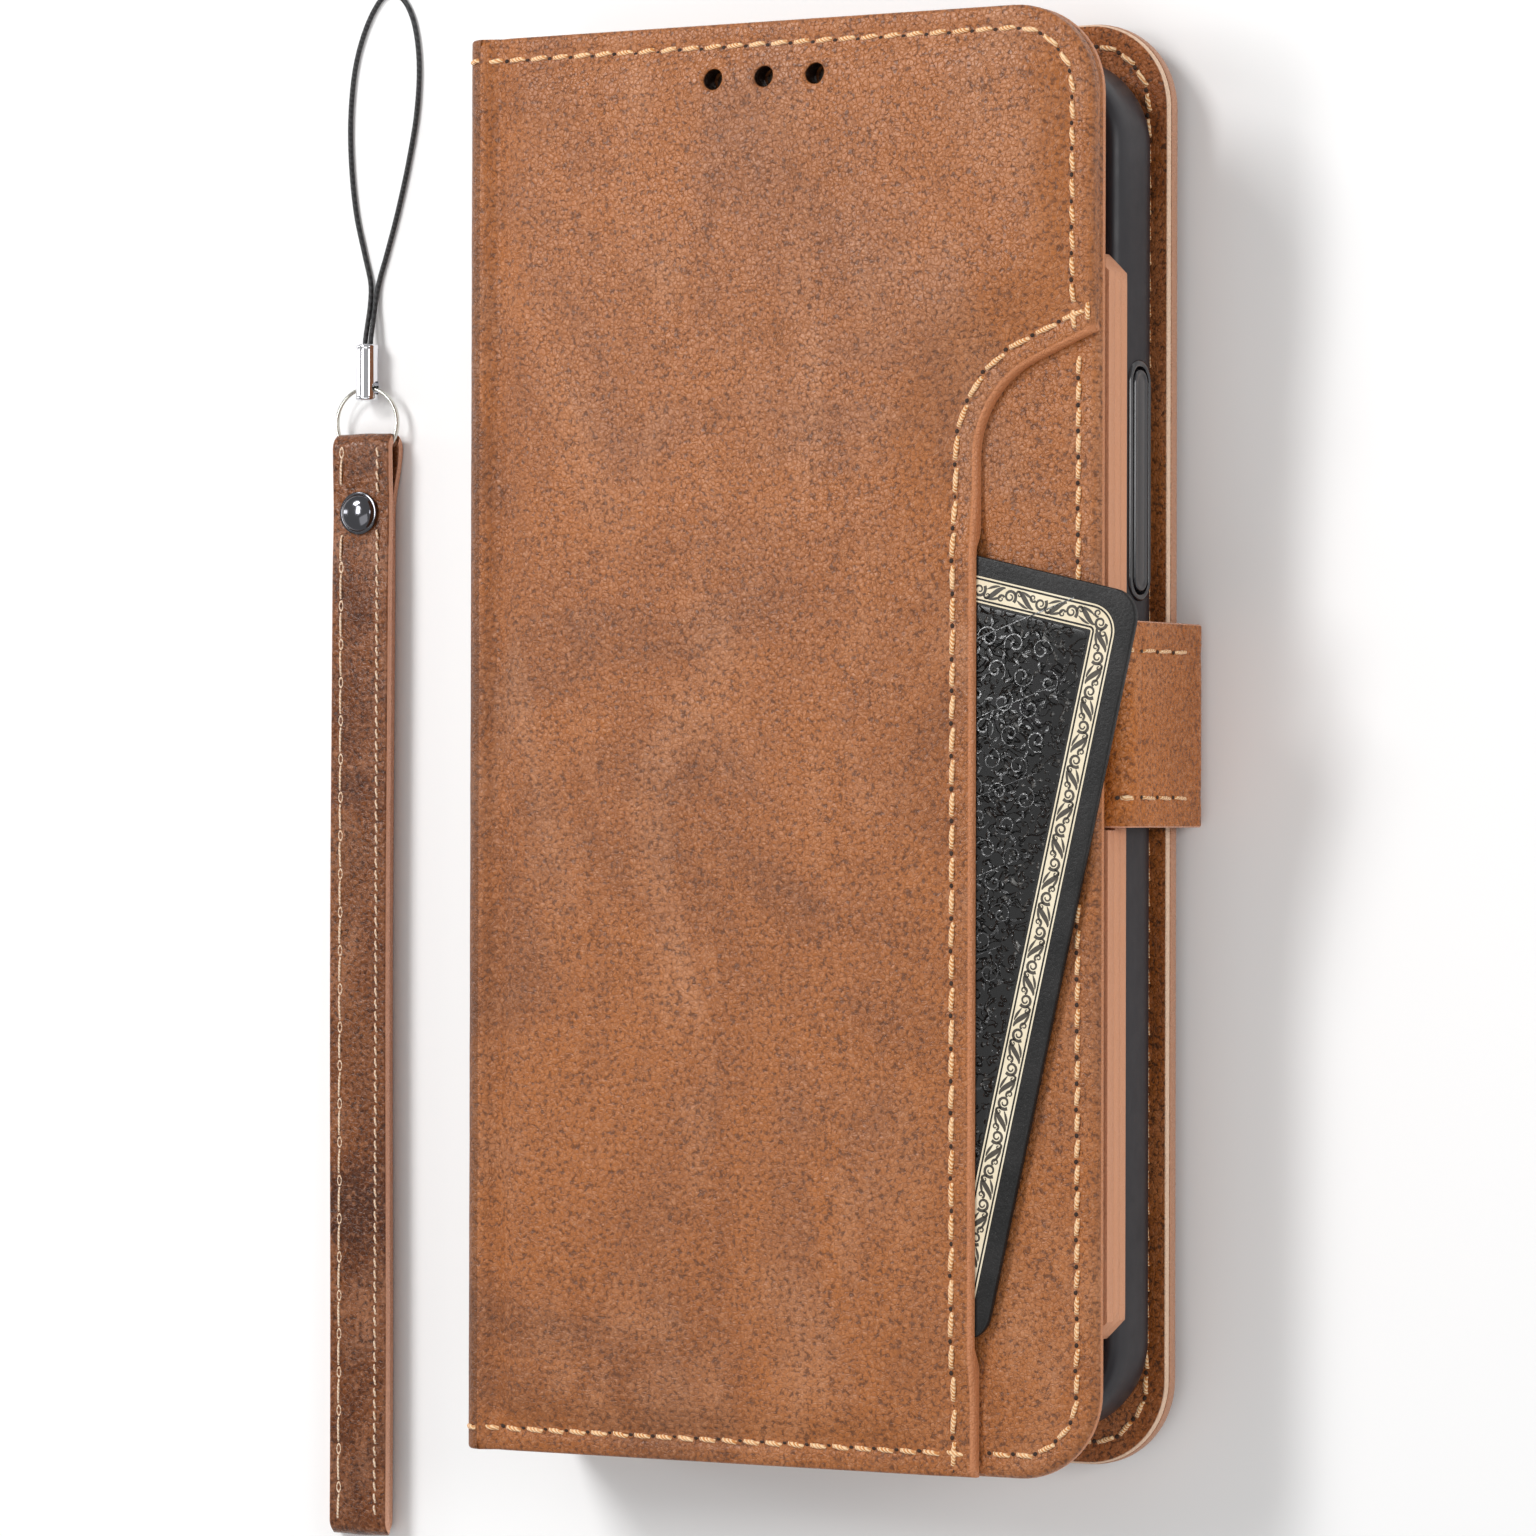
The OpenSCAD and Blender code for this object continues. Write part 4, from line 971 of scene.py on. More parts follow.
for name, path, ride_on, join, ends in (
        ("spine_front_roll", front_roll, None, ("spine", "front_cover"), FRONT_ROLL_BEND),
        ("spine_face", face, "spine", None, None),
        ("spine_back_roll", back_roll, None, ("back_cover", "spine"), ([-38.8, 0, 0], [X_LEFT, 0, 3.0]))):
    out = outward(path)
    if out[len(out) // 2][0] > 0:
        out = -out
    obj = band(name, path, out, [0, 1, 0], 2 * HALF_H, -SPINE_T, 0.0, 0.45, SPINE, trim_at=0.0001,
               wrinkle=crinkle(5, 0.02), body=ride_on, slot="spine_leather")
    if name == "spine_face":
        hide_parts("spine_leather")
    if join:
        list(join)
        case(ends[0]).tolist()
        case(ends[1]).tolist()
        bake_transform(obj)
inner = dense([[X_LEFT + SPINE_T + 0.02, 0, 4.5], [X_LEFT + SPINE_T + 0.02, 0, 18.5]], 0.8)
band("spine_inner_lining", inner, np.tile([1.0, 0, 0], (len(inner), 1)), [0, 1, 0], 2 * HALF_H - 0.6, 0.0, 0.8, 0.2,
     DARK, trim_at=0.2, body="spine", stands_for=("spine_lining",), slot="dark_lining")

# ---------- stitches ----------


def stitch_mesh(items, width, height, dig=0.35, sides=8, rings=9, holes=True, hole_r=0.25, sink=0.10):
    """Bent threads that dive into the leather at both ends, with a near-black disc beside the first end as the painted
    shade of its pricked hole.
    items: (middle, along, up, length)."""
    v, f, fm = [], [], []
    for mid, along, up, length in items:
        mid, along, up = (np.asarray(q, float) for q in (mid, along, up))
        side = np.cross(up, along)
        base = len(v)
        for i in range(rings):
            t = -1 + 2 * i / (rings - 1)
            lift = height * 0.55 * (1 - 0.4 * t * t) - (dig + height) * abs(t) ** 7
            c = mid + along * (t * length / 2) + up * lift
            thin = 1 - 0.35 * abs(t) ** 4
            for k in range(sides):
                a = 2 * np.pi * k / sides
                ply = 1 + 0.14 * math.cos(2 * a - 7.0 * t)
                v.append(c + side * (width / 2 * thin * ply * math.cos(a))
                         + up * (height / 2 * thin * ply * math.sin(a)))
        for i in range(rings - 1):
            for k in range(sides):
                a, b = base + i * sides + k, base + i * sides + (k + 1) % sides
                f.append([a, b, b + sides, a + sides])
                fm.append(0)
        f.append([base + k for k in range(sides)])
        f.append([base + (rings - 1) * sides + k for k in reversed(range(sides))])
        fm += [0, 0]
        if holes:
            # painted shade: a small near-black dished disc stands for the shaded pricked hole
            c = mid - along * (length / 2 + 0.16) + up * sink
            base = len(v)
            m = 10
            for r, z in ((1.0, 0.04), (0.72, 0.11)):
                for k in range(m):
                    a = 2 * np.pi * k / m
                    out = along * (hole_r * 1.15 * r * math.cos(a))
                    v.append(c + out + side * (hole_r * r * math.sin(a)) + up * z)
            v.append(c + up * 0.12)
            v.append(c - up * 0.08)
            for k in range(m):
                j = (k + 1) % m
                f += [[base + k, base + j, base + m + j, base + m + k], [base + m + k, base + m + j, base + 2 * m],
                      [base + j, base + k, base + 2 * m + 1]]
                fm += [1, 1, 1]
    return np.array(v), f, fm


ST_L, ST_W, ST_H = 2.66, 0.58, 0.44
POCKET_PITCH, POCKET_ST_L, POCKET_ST_W = 3.62, 3.36, 0.62


def sew(name, items, body=None, nodes=(), width=ST_W, height=ST_H, **kw):
    """Builds a piece of stitches with the painted shade of their pricked holes."""
    v, f, fm = stitch_mesh(items, width, height, **kw)
    return build(name, case(v), f, [THREAD, HOLE_SHADE], body, nodes, "thread", face_mat=fm, sharp=70)


def along_line(points, pitch, start=0.5):
    """Places and directions at even steps along a polyline."""
    points = np.asarray(points, float)
    seg = np.linalg.norm(np.diff(points, axis=0), axis=1)
    total = seg.sum()
    n = max(1, int(round(total / pitch)))
    s_all = np.concatenate([[0], np.cumsum(seg)])
    out = []
    for i in range(n):
        s = (i + start) * total / n
        k = min(int(np.searchsorted(s_all, s, side="right")) - 1, len(seg) - 1)
        d = (points[k + 1] - points[k]) / seg[k]
        out.append((points[k] + d * (s - s_all[k]), d))
    return out


def row(points, pitch, length, height_at, slant=0.0, sink=0.10, start=0.5):
    items = []
    g = np.random.default_rng(21)
    for p, d in along_line(points, pitch, start):
        a = slant + g.normal(0, 0.03)
        q = np.array([d[0] * math.cos(a) - d[1] * math.sin(a), d[0] * math.sin(a) + d[1] * math.cos(a)])
        z0, z1 = height_at(p - q * 0.8), height_at(p + q * 0.8)
        tilt = np.array([q[0], q[1], (z1 - z0) / 1.6])
        tilt /= np.linalg.norm(tilt)
        up = np.cross(np.cross(tilt, [0, 0, 1]), tilt)
        up /= np.linalg.norm(up)
        items.append(([p[0], p[1], height_at(p) - sink], tilt, up, length * g.uniform(0.96, 1.04)))
    return items


def one(f):
    """A face's height at a single place."""
    def g(p):
        x, y = np.array([p[0]]), np.array([p[1]])
        return float(f(x, y, outer_edge(np.column_stack([x, y])))[0])
    return g


def arc_2d(cx, cy, r, a0, a1, n=10):
    a = np.radians(np.linspace(a0, a1, n + 1))
    return np.stack([cx + r * np.cos(a), cy + r * np.sin(a)], 1).tolist()


e, rr = STITCH_IN, CORNER - STITCH_IN
tx, ty = X_RIGHT - CORNER, HALF_H - CORNER
slope_y = RISE_Y - e * math.tan(SLOPE)
pocket_h = one(pocket_top)
base_h = one(shell_top)
top_row = ([[FOLD_X + 0.3, HALF_H - e], [tx, HALF_H - e]] + arc_2d(tx, ty, rr, 90, 0)[1:]
           + [[X_RIGHT - e, slope_y + 0.9]])
items = row(top_row, PITCH, ST_L, pocket_h, slant=0.12)
items += row([[X_RIGHT - 0.85, RISE_Y + 3.6], [X_RIGHT - 0.85, RISE_Y + 0.6]], 2.9, 2.5, pocket_h)
items += row([[FOLD_X + 0.3, e - HALF_H], [POCKET_X - 1.0, e - HALF_H]], PITCH, ST_L, pocket_h, slant=-0.12)
items += row([[POCKET_X + 1.2, e - HALF_H], [tx, e - HALF_H]] + arc_2d(tx, -ty, rr, -90, 0)[1:]
             + [[X_RIGHT - e, slope_y - 1.2]], PITCH, ST_L, base_h, slant=-0.10)
sew("front_stitches", items, "front_cover", ("front_stitching",))

pm = [[POCKET_X - e, 0.7 - HALF_H]] + [
    (bend_c + (BEND_R + e) * np.array([math.cos(a), math.sin(a)])).tolist()
    for a in np.linspace(math.pi, math.pi / 2 + SLOPE, 12)]
end = np.array(pm[-1])
reach = X_RIGHT - 1.0 - end[0]
pm.append([end[0] + reach, end[1] + reach * math.tan(SLOPE)])
sew("pocket_stitches", row(pm, POCKET_PITCH, POCKET_ST_L, pocket_h, slant=-0.06), "front_cover",
    ("pocket_stitching",), POCKET_ST_W, dig=0.10)


def roll_height(p):
    x = p[0]
    if x < FOLD_X:
        return FRONT_FOLD_Z + math.sqrt(max(ROLL ** 2 - (x - FOLD_X) ** 2, 0.01))
    return pocket_h(p)


items = []
for s in (-1, 1):
    items += row([[-40.25, s * (HALF_H - e)], [FOLD_X + 0.1, s * (HALF_H - e)]], 1.8, 1.6, roll_height, slant=s * 0.2)
roll_stitches = sew("spine_end_stitches", items, holes=False)
case(FRONT_ROLL_BEND[0]).tolist()
case(FRONT_ROLL_BEND[1]).tolist()
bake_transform(roll_stitches)

back_path = [[-35.5, HALF_H - e], [tx, HALF_H - e]] + arc_2d(tx, ty, rr, 90, 0)[1:] \
    + arc_2d(tx, -ty, rr, 0, -90) + [[-35.5, e - HALF_H]]
items = row(back_path, PITCH, ST_L, one(lining_top), slant=0.08, sink=0.10)
for mid, along, up, length in row(back_path, PITCH, ST_L, one(back_out), slant=0.12, sink=-0.10):
    items.append((mid, along, -np.asarray(up), length))
sew("back_stitches", items, "back_cover", ("back_stitching",))

# ---------- clasp ----------

HALF_T = 0.8
bend_r, low_bend_r = 1.7, 1.3
CLASP_END_Z = 8.3  # where the clasp ends and the tab begins
TAB_REACH = 20
clasp_path = np.concatenate([
    dense([[X_RIGHT - 9.0, 0, CLASP_TOP_Z], [CLASP_X - bend_r, 0, CLASP_TOP_Z]], 0.6)[:-1],
    arc_xz(CLASP_X - bend_r, CLASP_TOP_Z - bend_r, bend_r, 90, 0, 10),
    dense([[CLASP_X, 0, CLASP_TOP_Z - bend_r], [CLASP_X, 0, CLASP_END_Z]], 0.5)[1:]])
low_path = np.concatenate([
    dense([[CLASP_X, 0, CLASP_END_Z], [CLASP_X, 0, CLASP_LOW_Z + low_bend_r]], 0.5)[:-1],
    arc_xz(CLASP_X - low_bend_r, CLASP_LOW_Z + low_bend_r, low_bend_r, 0, -90, 8),
    dense([[CLASP_X - low_bend_r, 0, CLASP_LOW_Z], [CLASP_X - TAB_REACH, 0, CLASP_LOW_Z]], 0.8)[1:]])
clasp_path[:, 1] = CLASP_Y
low_path[:, 1] = CLASP_Y


def clasp_wrinkle(s, u, p):
    near_bend = math.exp(-((p[2] - 16.6) / 1.5) ** 2) if p[0] > X_RIGHT - 1 else 0
    lines = sum(a * np.sin((u * f) + ph + 0.5 * s) for a, f, ph in ((0.5, 2.1, 0.3), (0.3, 3.7, 1.1), (0.25, 5.9, 2.0)))
    crease = -0.18 * math.exp(-((p[2] - 14.9) / 0.25) ** 2) if p[0] > X_RIGHT - 1 else 0
    row_at = (np.abs(np.abs(u) - CLASP_ROW) < 0.9) * 1.0
    groove = -0.07 * np.exp(-((np.abs(u) - CLASP_ROW) / 0.4) ** 2) * row_at
    return 0.17 * near_bend * lines + crease + groove + 0.02 * waves(u, np.full_like(u, 3 * s), 9, 7)


def clasp_normals(path):
    n = outward(path)
    return n if n[len(n) // 2][0] > 0 else -n


for path, bodies, bend, outer, inner in (
        (clasp_path, ("front_cover", "clasp"), CLASP_BEND, ("clasp_outer", ("clasp_root", "clasp_strap")),
         ("clasp_inner", ("clasp_lining",))),
        (low_path, ("clasp", "tab"), TAB_BEND, ("clasp_tab_outer", ("clasp_tab",)),
         ("clasp_tab_inner", ("clasp_tab_lining",)))):
    for (name, nodes_), v0, v1, narrower, mat, slot_, wrinkle in (
            (outer, 0.02, HALF_T, 0.0, CLASP, "brown_leather", clasp_wrinkle),
            (inner, -HALF_T, 0.0, 0.25, SALMON, "salmon_lining", None)):
        obj = band(name, path, clasp_normals(path), [0, 1, 0], CLASP_W - narrower, v0, v1, 0.3, mat,
                   wrinkle=wrinkle, trim_at=0.22, slot=slot_)
        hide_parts(*nodes_)
        case(bend[0]).tolist()
        case(bend[1]).tolist()
        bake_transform(obj)

clasp_items = []
for s in (-1, 1):
    y = CLASP_Y + s * CLASP_ROW
    side_x = CLASP_X + HALF_T - 0.13
    for z in np.arange(15.2, 3.0, -4.1):
        clasp_items.append(([side_x, y, z - 1.9], [0.0, s * 0.04, -1.0], [1.0, 0, 0], 3.8))
sew("clasp_stitches", clasp_items, "clasp", ("clasp_stitching",), 0.44, 0.32, hole_r=0.24)
arc_mid = np.array([CLASP_X - bend_r, 0, CLASP_TOP_Z - bend_r])
bend_items = []
for s in (-1, 1):
    a = math.radians(42)
    up = np.array([math.cos(a), 0, math.sin(a)])
    mid = arc_mid + [0, CLASP_Y + s * CLASP_ROW, 0] + up * (bend_r + HALF_T - 0.2)
    bend_items.append((mid, [up[2], 0, -up[0]], up, 2.0))
obj = sew("clasp_bend_stitches", bend_items)
case(CLASP_BEND[0]).tolist()
case(CLASP_BEND[1]).tolist()
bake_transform(obj)
tab_items = []
for s in (-1, 1):
    for x in np.arange(CLASP_X - 3.4, CLASP_X - 18.5, -2.9):
        tab_items.append(([x, CLASP_Y + s * CLASP_ROW, CLASP_LOW_Z - HALF_T + 0.13], [-1.0, 0.05, 0],
                          [0, 0, -1.0], 2.3))
for y in np.arange(CLASP_Y - 6.6, CLASP_Y + 7.5, 2.9):
    tab_items.append(([CLASP_X - 18.4, y, CLASP_LOW_Z - HALF_T + 0.13], [0, 1.0, 0], [0, 0, -1.0], 2.3))
sew("tab_stitches", tab_items, "tab", height=ST_H * 0.8)

# ---------- phone tray ----------

TRAY_X, TRAY_W, TRAY_H, TRAY_R = 0.7, 77.2, 155.8, 10.6


def tray_ring(inset, z, n=12):
    p = rounded_rect(TRAY_X, 0, TRAY_W - 2 * inset, TRAY_H - 2 * inset, max(TRAY_R - inset, 0.6), n)
    return [[x, y, z] for x, y in p]


wall_profile = [(3.2, 3.0), (2.6, 3.03), (2.0, 3.14), (1.5, 3.34), (1.05, 3.65), (0.66, 4.1), (0.36, 4.7), (0.14, 5.5),
                (0.03, 6.5), (0.0, 7.6), (0.0, 9.2), (0.02, 10.4), (0.08, 11.3), (0.22, 12.0), (0.45, 12.6),
                (0.80, 13.0), (1.25, 13.18), (1.75, 13.2), (2.1, 13.12), (2.35, 12.9), (2.42, 12.6), (2.35, 12.3),
                (2.1, 12.2), (1.4, 12.2), (1.4, 11.9), (1.4, 4.9), (1.55, 4.45), (1.9, 4.24), (2.5, 4.2)]
v = sum((tray_ring(inset, z) for inset, z in wall_profile), [])
tray = build("phone_tray_shell", case(v), skin(len(wall_profile), len(tray_ring(0, 0))), RUBBER, sharp=60)
cut(tray, *prism(rounded_rect(*WINDOW_AT, 20.0, 34.0, 3.5, 8), 2, 6))
BUTTON_Z = 8.2
SIDE_X = TRAY_X + TRAY_W / 2


def side_prism(y, l, w, r, x0, x1):
    """A rounded bar's shape run through the tray's right wall."""
    p = rounded_rect(y, BUTTON_Z, l, w, r, 8)
    return case([[x, a, b] for x in (x0, x1) for a, b in p]), prism_faces(len(p))


def end_prism(x, w, h, r, y0, y1):
    """The same through an end wall."""
    p = rounded_rect(x, BUTTON_Z, w, h, r, 6)
    return case([[a, y, b] for y in (y0, y1) for a, b in p]), prism_faces(len(p))


BUTTONS = (("volume_cover", "volume_key", 29.5, 25.0), ("power_cover", "power_key", 2.0, 10.0))
for _, _, y, l in BUTTONS:
    cut(tray, *side_prism(y, l + 0.7, 4.1, 1.9, SIDE_X - 4, SIDE_X + 3))
cut(tray, *end_prism(TRAY_X, 13.0, 5.0, 2.4, -TRAY_H / 2 - 3, -TRAY_H / 2 + 3.2))
for i in (-3, -2, 2, 3):
    cut(tray, *end_prism(TRAY_X + 6 * i, 1.6, 1.6, 0.79, -TRAY_H / 2 - 3, -TRAY_H / 2 + 3.2))
cut(tray, *end_prism(TRAY_X, 1.6, 1.6, 0.79, TRAY_H / 2 - 3.2, TRAY_H / 2 + 3))
shade(tray.data, 40)
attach(tray, "back_cover")
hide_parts("phone_tray")

for node, body, y, l in BUTTONS:
    rows = [(0.9, -0.85), (0.12, -0.85), (0.0, -0.7), (0.0, 0.10), (0.04, 0.22), (0.14, 0.32), (0.30, 0.37),
            (0.48, 0.34), (0.62, 0.26), (0.78, 0.24), (1.05, 0.27), (1.4, 0.29)]
    v = [[SIDE_X + x, a, b] for inset, x in rows
         for a, b in rounded_rect(y, BUTTON_Z, l - 2 * inset, 3.4 - 2 * inset, max(1.6 - inset, 0.12), 8)]
    build(node + "_pad", case(v), skin(len(rows), len(v) // len(rows)), GLOSSY, body, (node,), "black_rubber", sharp=50)
    section = [(0.0, -0.3), (0.0, 0.18), (0.12, 0.27), (0.32, 0.29), (0.55, 0.24), (0.72, 0.08), (0.74, -0.3)]
    v = [[SIDE_X + x, a, b] for grow, x in section
         for a, b in rounded_rect(y, BUTTON_Z, l + 0.7 + 2 * grow, 4.1 + 2 * grow, 1.9 + grow, 10)]
    build(node + "_rim", case(v), skin(len(section), len(v) // len(section), closed=True), GLOSSY, "back_cover",
          slot="black_rubber", sharp=50)

# ---------- card ----------

CARD_L, CARD_W, CARD_R = 85.6, 54.0, 3.2
card_z = Z_CARD + CARD_T


def card_ring(w, l, r, n, z):
    """A rounded rectangle about the card's middle, at height z."""
    p = rounded_rect(0, 0, w, l, r, n)
    return from_card_axes(np.column_stack([p, np.full(len(p), z)])).tolist()


rows = [(0.10, Z_CARD), (0.03, Z_CARD + 0.03), (0, Z_CARD + 0.10), (0, card_z - 0.14), (0.03, card_z - 0.06),
        (0.10, card_z - 0.015), (0.22, card_z - 0.005), (1.2, card_z)]
v = sum((card_ring(CARD_W - 2 * inset, CARD_L - 2 * inset, CARD_R - inset, 10, z) for inset, z in rows), [])
build("card_blank", case(v), skin(len(rows), len(v) // len(rows)), CARD_BLACK, "loose_card", ("card",),
      "card_plastic", sharp=40)


def frame_ring(w, l, r, half, z0, z1, n=10):
    """A thin printed line round a rounded rectangle."""
    v = sum((card_ring(w + 2 * grow, l + 2 * grow, max(r + grow, 0.1), n, z)
             for grow, z in ((half, z0), (half, z1), (-half, z1), (-half, z0))), [])
    return v, skin(4, len(v) // 4, closed=True)


def ribbons(lines, z0, z1):
    """Flat printed strokes: each line is points with a half width at each."""
    v, f = [], []
    for line, half in lines:
        line = np.asarray(line, float)
        if len(line) < 2:
            continue
        t = np.gradient(line, axis=0)
        t /= np.maximum(np.linalg.norm(t, axis=1), 1e-9)[:, None]
        n = np.stack([-t[:, 1], t[:, 0]], 1)
        half = np.broadcast_to(half, len(line))
        base = len(v)
        for i in range(len(line)):
            for s, z in ((1, z0), (1, z1), (-1, z1), (-1, z0)):
                q = line[i] + s * half[i] * n[i]
                v.append([q[0], q[1], z])
        for i in range(len(line) - 1):
            for c in range(4):
                a, b = base + 4 * i + c, base + 4 * i + (c + 1) % 4
                f.append([a, b, b + 4, a + 4])
        f += [[base, base + 1, base + 2, base + 3], [base + 4 * (len(line) - 1) + c for c in (3, 2, 1, 0)]]
    return from_card_axes(np.array(v)).tolist(), f


BAND_IN, BAND_W = 2.15, 2.9
band_w, band_l, band_r = CARD_W - 2 * BAND_IN - BAND_W, CARD_L - 2 * BAND_IN - BAND_W, 1.6
cream = [frame_ring(band_w, band_l, band_r, BAND_W / 2 - 0.42, card_z - 0.01, card_z + 0.03)]
for off in (BAND_W / 2 - 0.10, -BAND_W / 2 + 0.10):
    cream.append(frame_ring(band_w + 2 * off, band_l + 2 * off, max(band_r + off, 0.3), 0.09, card_z - 0.01,
                            card_z + 0.035))
v, f = merge(cream)
build("card_band", case(v), f, CARD_CREAM, "loose_card", slot="card_plastic", sharp=30)


def spiral(cx, cy, r0, r1, a0, turns, n=20):
    t = np.linspace(0, 1, n)
    a = a0 + 2 * np.pi * turns * t
    r = r0 + (r1 - r0) * t
    return np.stack([cx + r * np.cos(a), cy + r * np.sin(a)], 1)


def scroll_cell(kind):
    """One length of the scroll border, about the band's middle line: x runs along it."""
    if kind == 0:
        return [(spiral(0, 0, 0.78, 0.20, 2.4, 1.4), np.linspace(0.14, 0.05, 20)),
                (spiral(1.05, 0.45, 0.45, 0.12, -2.6, 1.1, 14), np.linspace(0.10, 0.04, 14)),
                (spiral(-1.1, -0.45, 0.45, 0.12, 0.6, -1.1, 14), np.linspace(0.10, 0.04, 14))]
    leaf = np.linspace(0, 1, 12)
    return [(np.stack([-1.2 + 2.4 * leaf, 0.85 * np.sin(np.pi * (leaf - 0.5)) * 0.95], 1),
             0.05 + 0.16 * np.sin(np.pi * leaf)),
            (np.stack([-0.9 + 1.5 * leaf, 0.15 + 0.7 * leaf ** 0.6], 1), 0.03 + 0.08 * np.sin(np.pi * leaf)),
            (np.stack([-0.5 + 1.5 * leaf, -0.85 + 0.6 * leaf ** 1.6], 1), 0.03 + 0.08 * np.sin(np.pi * leaf))]


border = resample(rounded_rect(0, 0, band_w, band_l, band_r, 8), 0.6)
border = np.vstack([border, border[:1]])
lines = []
for i, (p, d) in enumerate(along_line(border, 1.95)):
    across = np.array([-d[1], d[0]])
    for line, half in scroll_cell(i % 2):
        q = p + line[:, 0:1] * d + line[:, 1:2] * across * (1 if (i // 2) % 2 else -1)
        lines.append((q, np.asarray(half) * 1.4))
v, f = ribbons(lines, card_z + 0.02, card_z + 0.045)
build("card_scrolls", case(v), f, CARD_LINE, "loose_card", slot="card_plastic", sharp=30)

relief = []
g = np.random.default_rng(33)
fw, fl = CARD_W / 2 - BAND_IN - BAND_W - 1.2, CARD_L / 2 - BAND_IN - BAND_W - 1.2
for row_i, y in enumerate(np.arange(-fl + 1.5, fl - 1.0, 3.3)):
    for x in np.arange(-fw + 1.6 + (row_i % 2) * 1.7, fw - 1.2, 3.4):
        a = g.uniform(0, 6.28)
        hand = 1 if (row_i + int(x)) % 2 else -1
        relief.append((spiral(x, y, 1.35, 0.25, a, hand * 1.25, 18), np.linspace(0.05, 0.13, 18)))
        for b in (1.9, 3.3, 4.6):
            leaf = np.linspace(0, 1, 7)
            ca, sa = math.cos(a + b), math.sin(a + b)
            base = np.array([x + 1.3 * ca, y + 1.3 * sa])
            tip = np.stack([leaf * ca * 0.9 - 0.3 * leaf ** 2 * sa, leaf * sa * 0.9 + 0.3 * leaf ** 2 * ca], 1)
            relief.append((base + tip, 0.03 + 0.13 * np.sin(np.pi * leaf)))
for y in np.arange(-fl + 3, fl, 9.9):
    for s in (-1, 1):
        relief.append((dense([[s * fw * 0.25, y - 4, 0], [s * fw * 0.92, y + 5, 0]], 0.8)[:, :2], 0.06))
v = sum((card_ring(2 * (fw + 0.9 - inset), 2 * (fl + 0.9 - inset), 0.8, 6, z)
         for inset, z in ((0, card_z - 0.02), (0, card_z + 0.005), (0.08, card_z + 0.02))), [])
build("card_field", case(v), skin(3, len(v) // 3), CARD_FIELD, "loose_card", slot="card_plastic", sharp=30)
v, f = ribbons(relief, card_z + 0.01, card_z + 0.09)
build("card_relief", case(v), f, CARD_RELIEF, "loose_card", slot="card_plastic", sharp=30)

# ---------- wrist strap ----------

WRIST_T = 3.9
WRIST_ROW = 2.55
KNOT_PITCH, LONG_STITCH = 4.64, 3.9
SHORT_PITCH, SHORT_STITCH = 1.42, 1.5
mid_r = (WRIST_T - LAYER_T) / 2
y1, y0 = WRIST_TOP - WRIST_T / 2, WRIST_TOP - WRIST_L + WRIST_T / 2
ang = np.radians(np.linspace(90, -90, 15))
top_arc = np.stack([np.zeros(15), y1 + mid_r * np.cos(ang), WRIST_T / 2 + mid_r * np.sin(ang)], 1)
low_arc = np.stack([np.zeros(15), y0 - mid_r * np.cos(ang), WRIST_T / 2 - mid_r * np.sin(ang)], 1)
front_run = dense([[0, y0, WRIST_T / 2 + mid_r], [0, y1, WRIST_T / 2 + mid_r]], 1.0)
back_run = dense([[0, y1, WRIST_T / 2 - mid_r], [0, y0, WRIST_T / 2 - mid_r]], 1.0)
loop = np.concatenate([front_run[:-1], top_arc[:-1], back_run[:-1], low_arc[:-1]])
RIVET_Y = WRIST_TOP - 9.8
t = np.roll(loop, -1, 0) - np.roll(loop, 1, 0)
t /= np.linalg.norm(t, axis=1)[:, None]
loop_n = np.cross([1, 0, 0], t)
backness = smooth((WRIST_T / 2 + 0.9 - loop[:, 2]) / 1.8)
side_shift = -1.0 * backness * smooth((y1 - loop[:, 1]) / 8) + 0.10 * np.sin(loop[:, 1] / 17)
dip = -0.22 * np.exp(-((loop[:, 1] - RIVET_Y) / 5.0) ** 2) * (1 - backness)
loop = loop + np.stack([0 * dip, 0 * dip, dip], 1)
loop[:, 0] += WRIST_X


def wrist_wrinkle(s, u, p):
    if p[2] < 2.2:
        return 0 * u
    y = p[1]
    below = smooth((RIVET_Y - 1 - y) / 2) * math.exp(-max(RIVET_Y - y, 0) / 16)
    fold = sum(a * np.sin(f * (y * 0.75 + k * u) + ph) for a, f, k, ph in ((0.5, 2.4, 0.9, 0), (0.35, 3.9, -0.5, 1),
                                                                          (0.3, 5.6, 0.4, 2)))
    inner = np.clip(1 - (np.abs(u) / 2.3) ** 4, 0, 1)
    rows = -0.08 * (np.exp(-((np.abs(u) - WRIST_ROW) / 0.3) ** 2)) + 0.10 * np.clip(1 - (u / 2.2) ** 2, 0, 1)
    return (0.16 * below + 0.05) * fold * inner + rows


wrist = band("wrist_strap_leather", loop, loop_n, [1, 0, 0], WRIST_W, -LAYER_T / 2, LAYER_T / 2 - 0.12, 0.34, STRAP,
             to=table, closed=True, shift=side_shift, wrinkle=wrist_wrinkle, trim_at=0.16)


def groove_point(a, b):
    r = RING_R + 0.75 * math.cos(b)
    return [WRIST_X + r * math.cos(a), RING_Y + r * math.sin(a), WRIST_T / 2 + 0.75 * math.sin(b)]


groove_v, groove_f = hoop(40, 10, groove_point)  # room for the split ring
cut(wrist, table(groove_v), groove_f)
shade(wrist.data, 50)
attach(wrist, "wrist_strap")
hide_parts("wrist_leather")

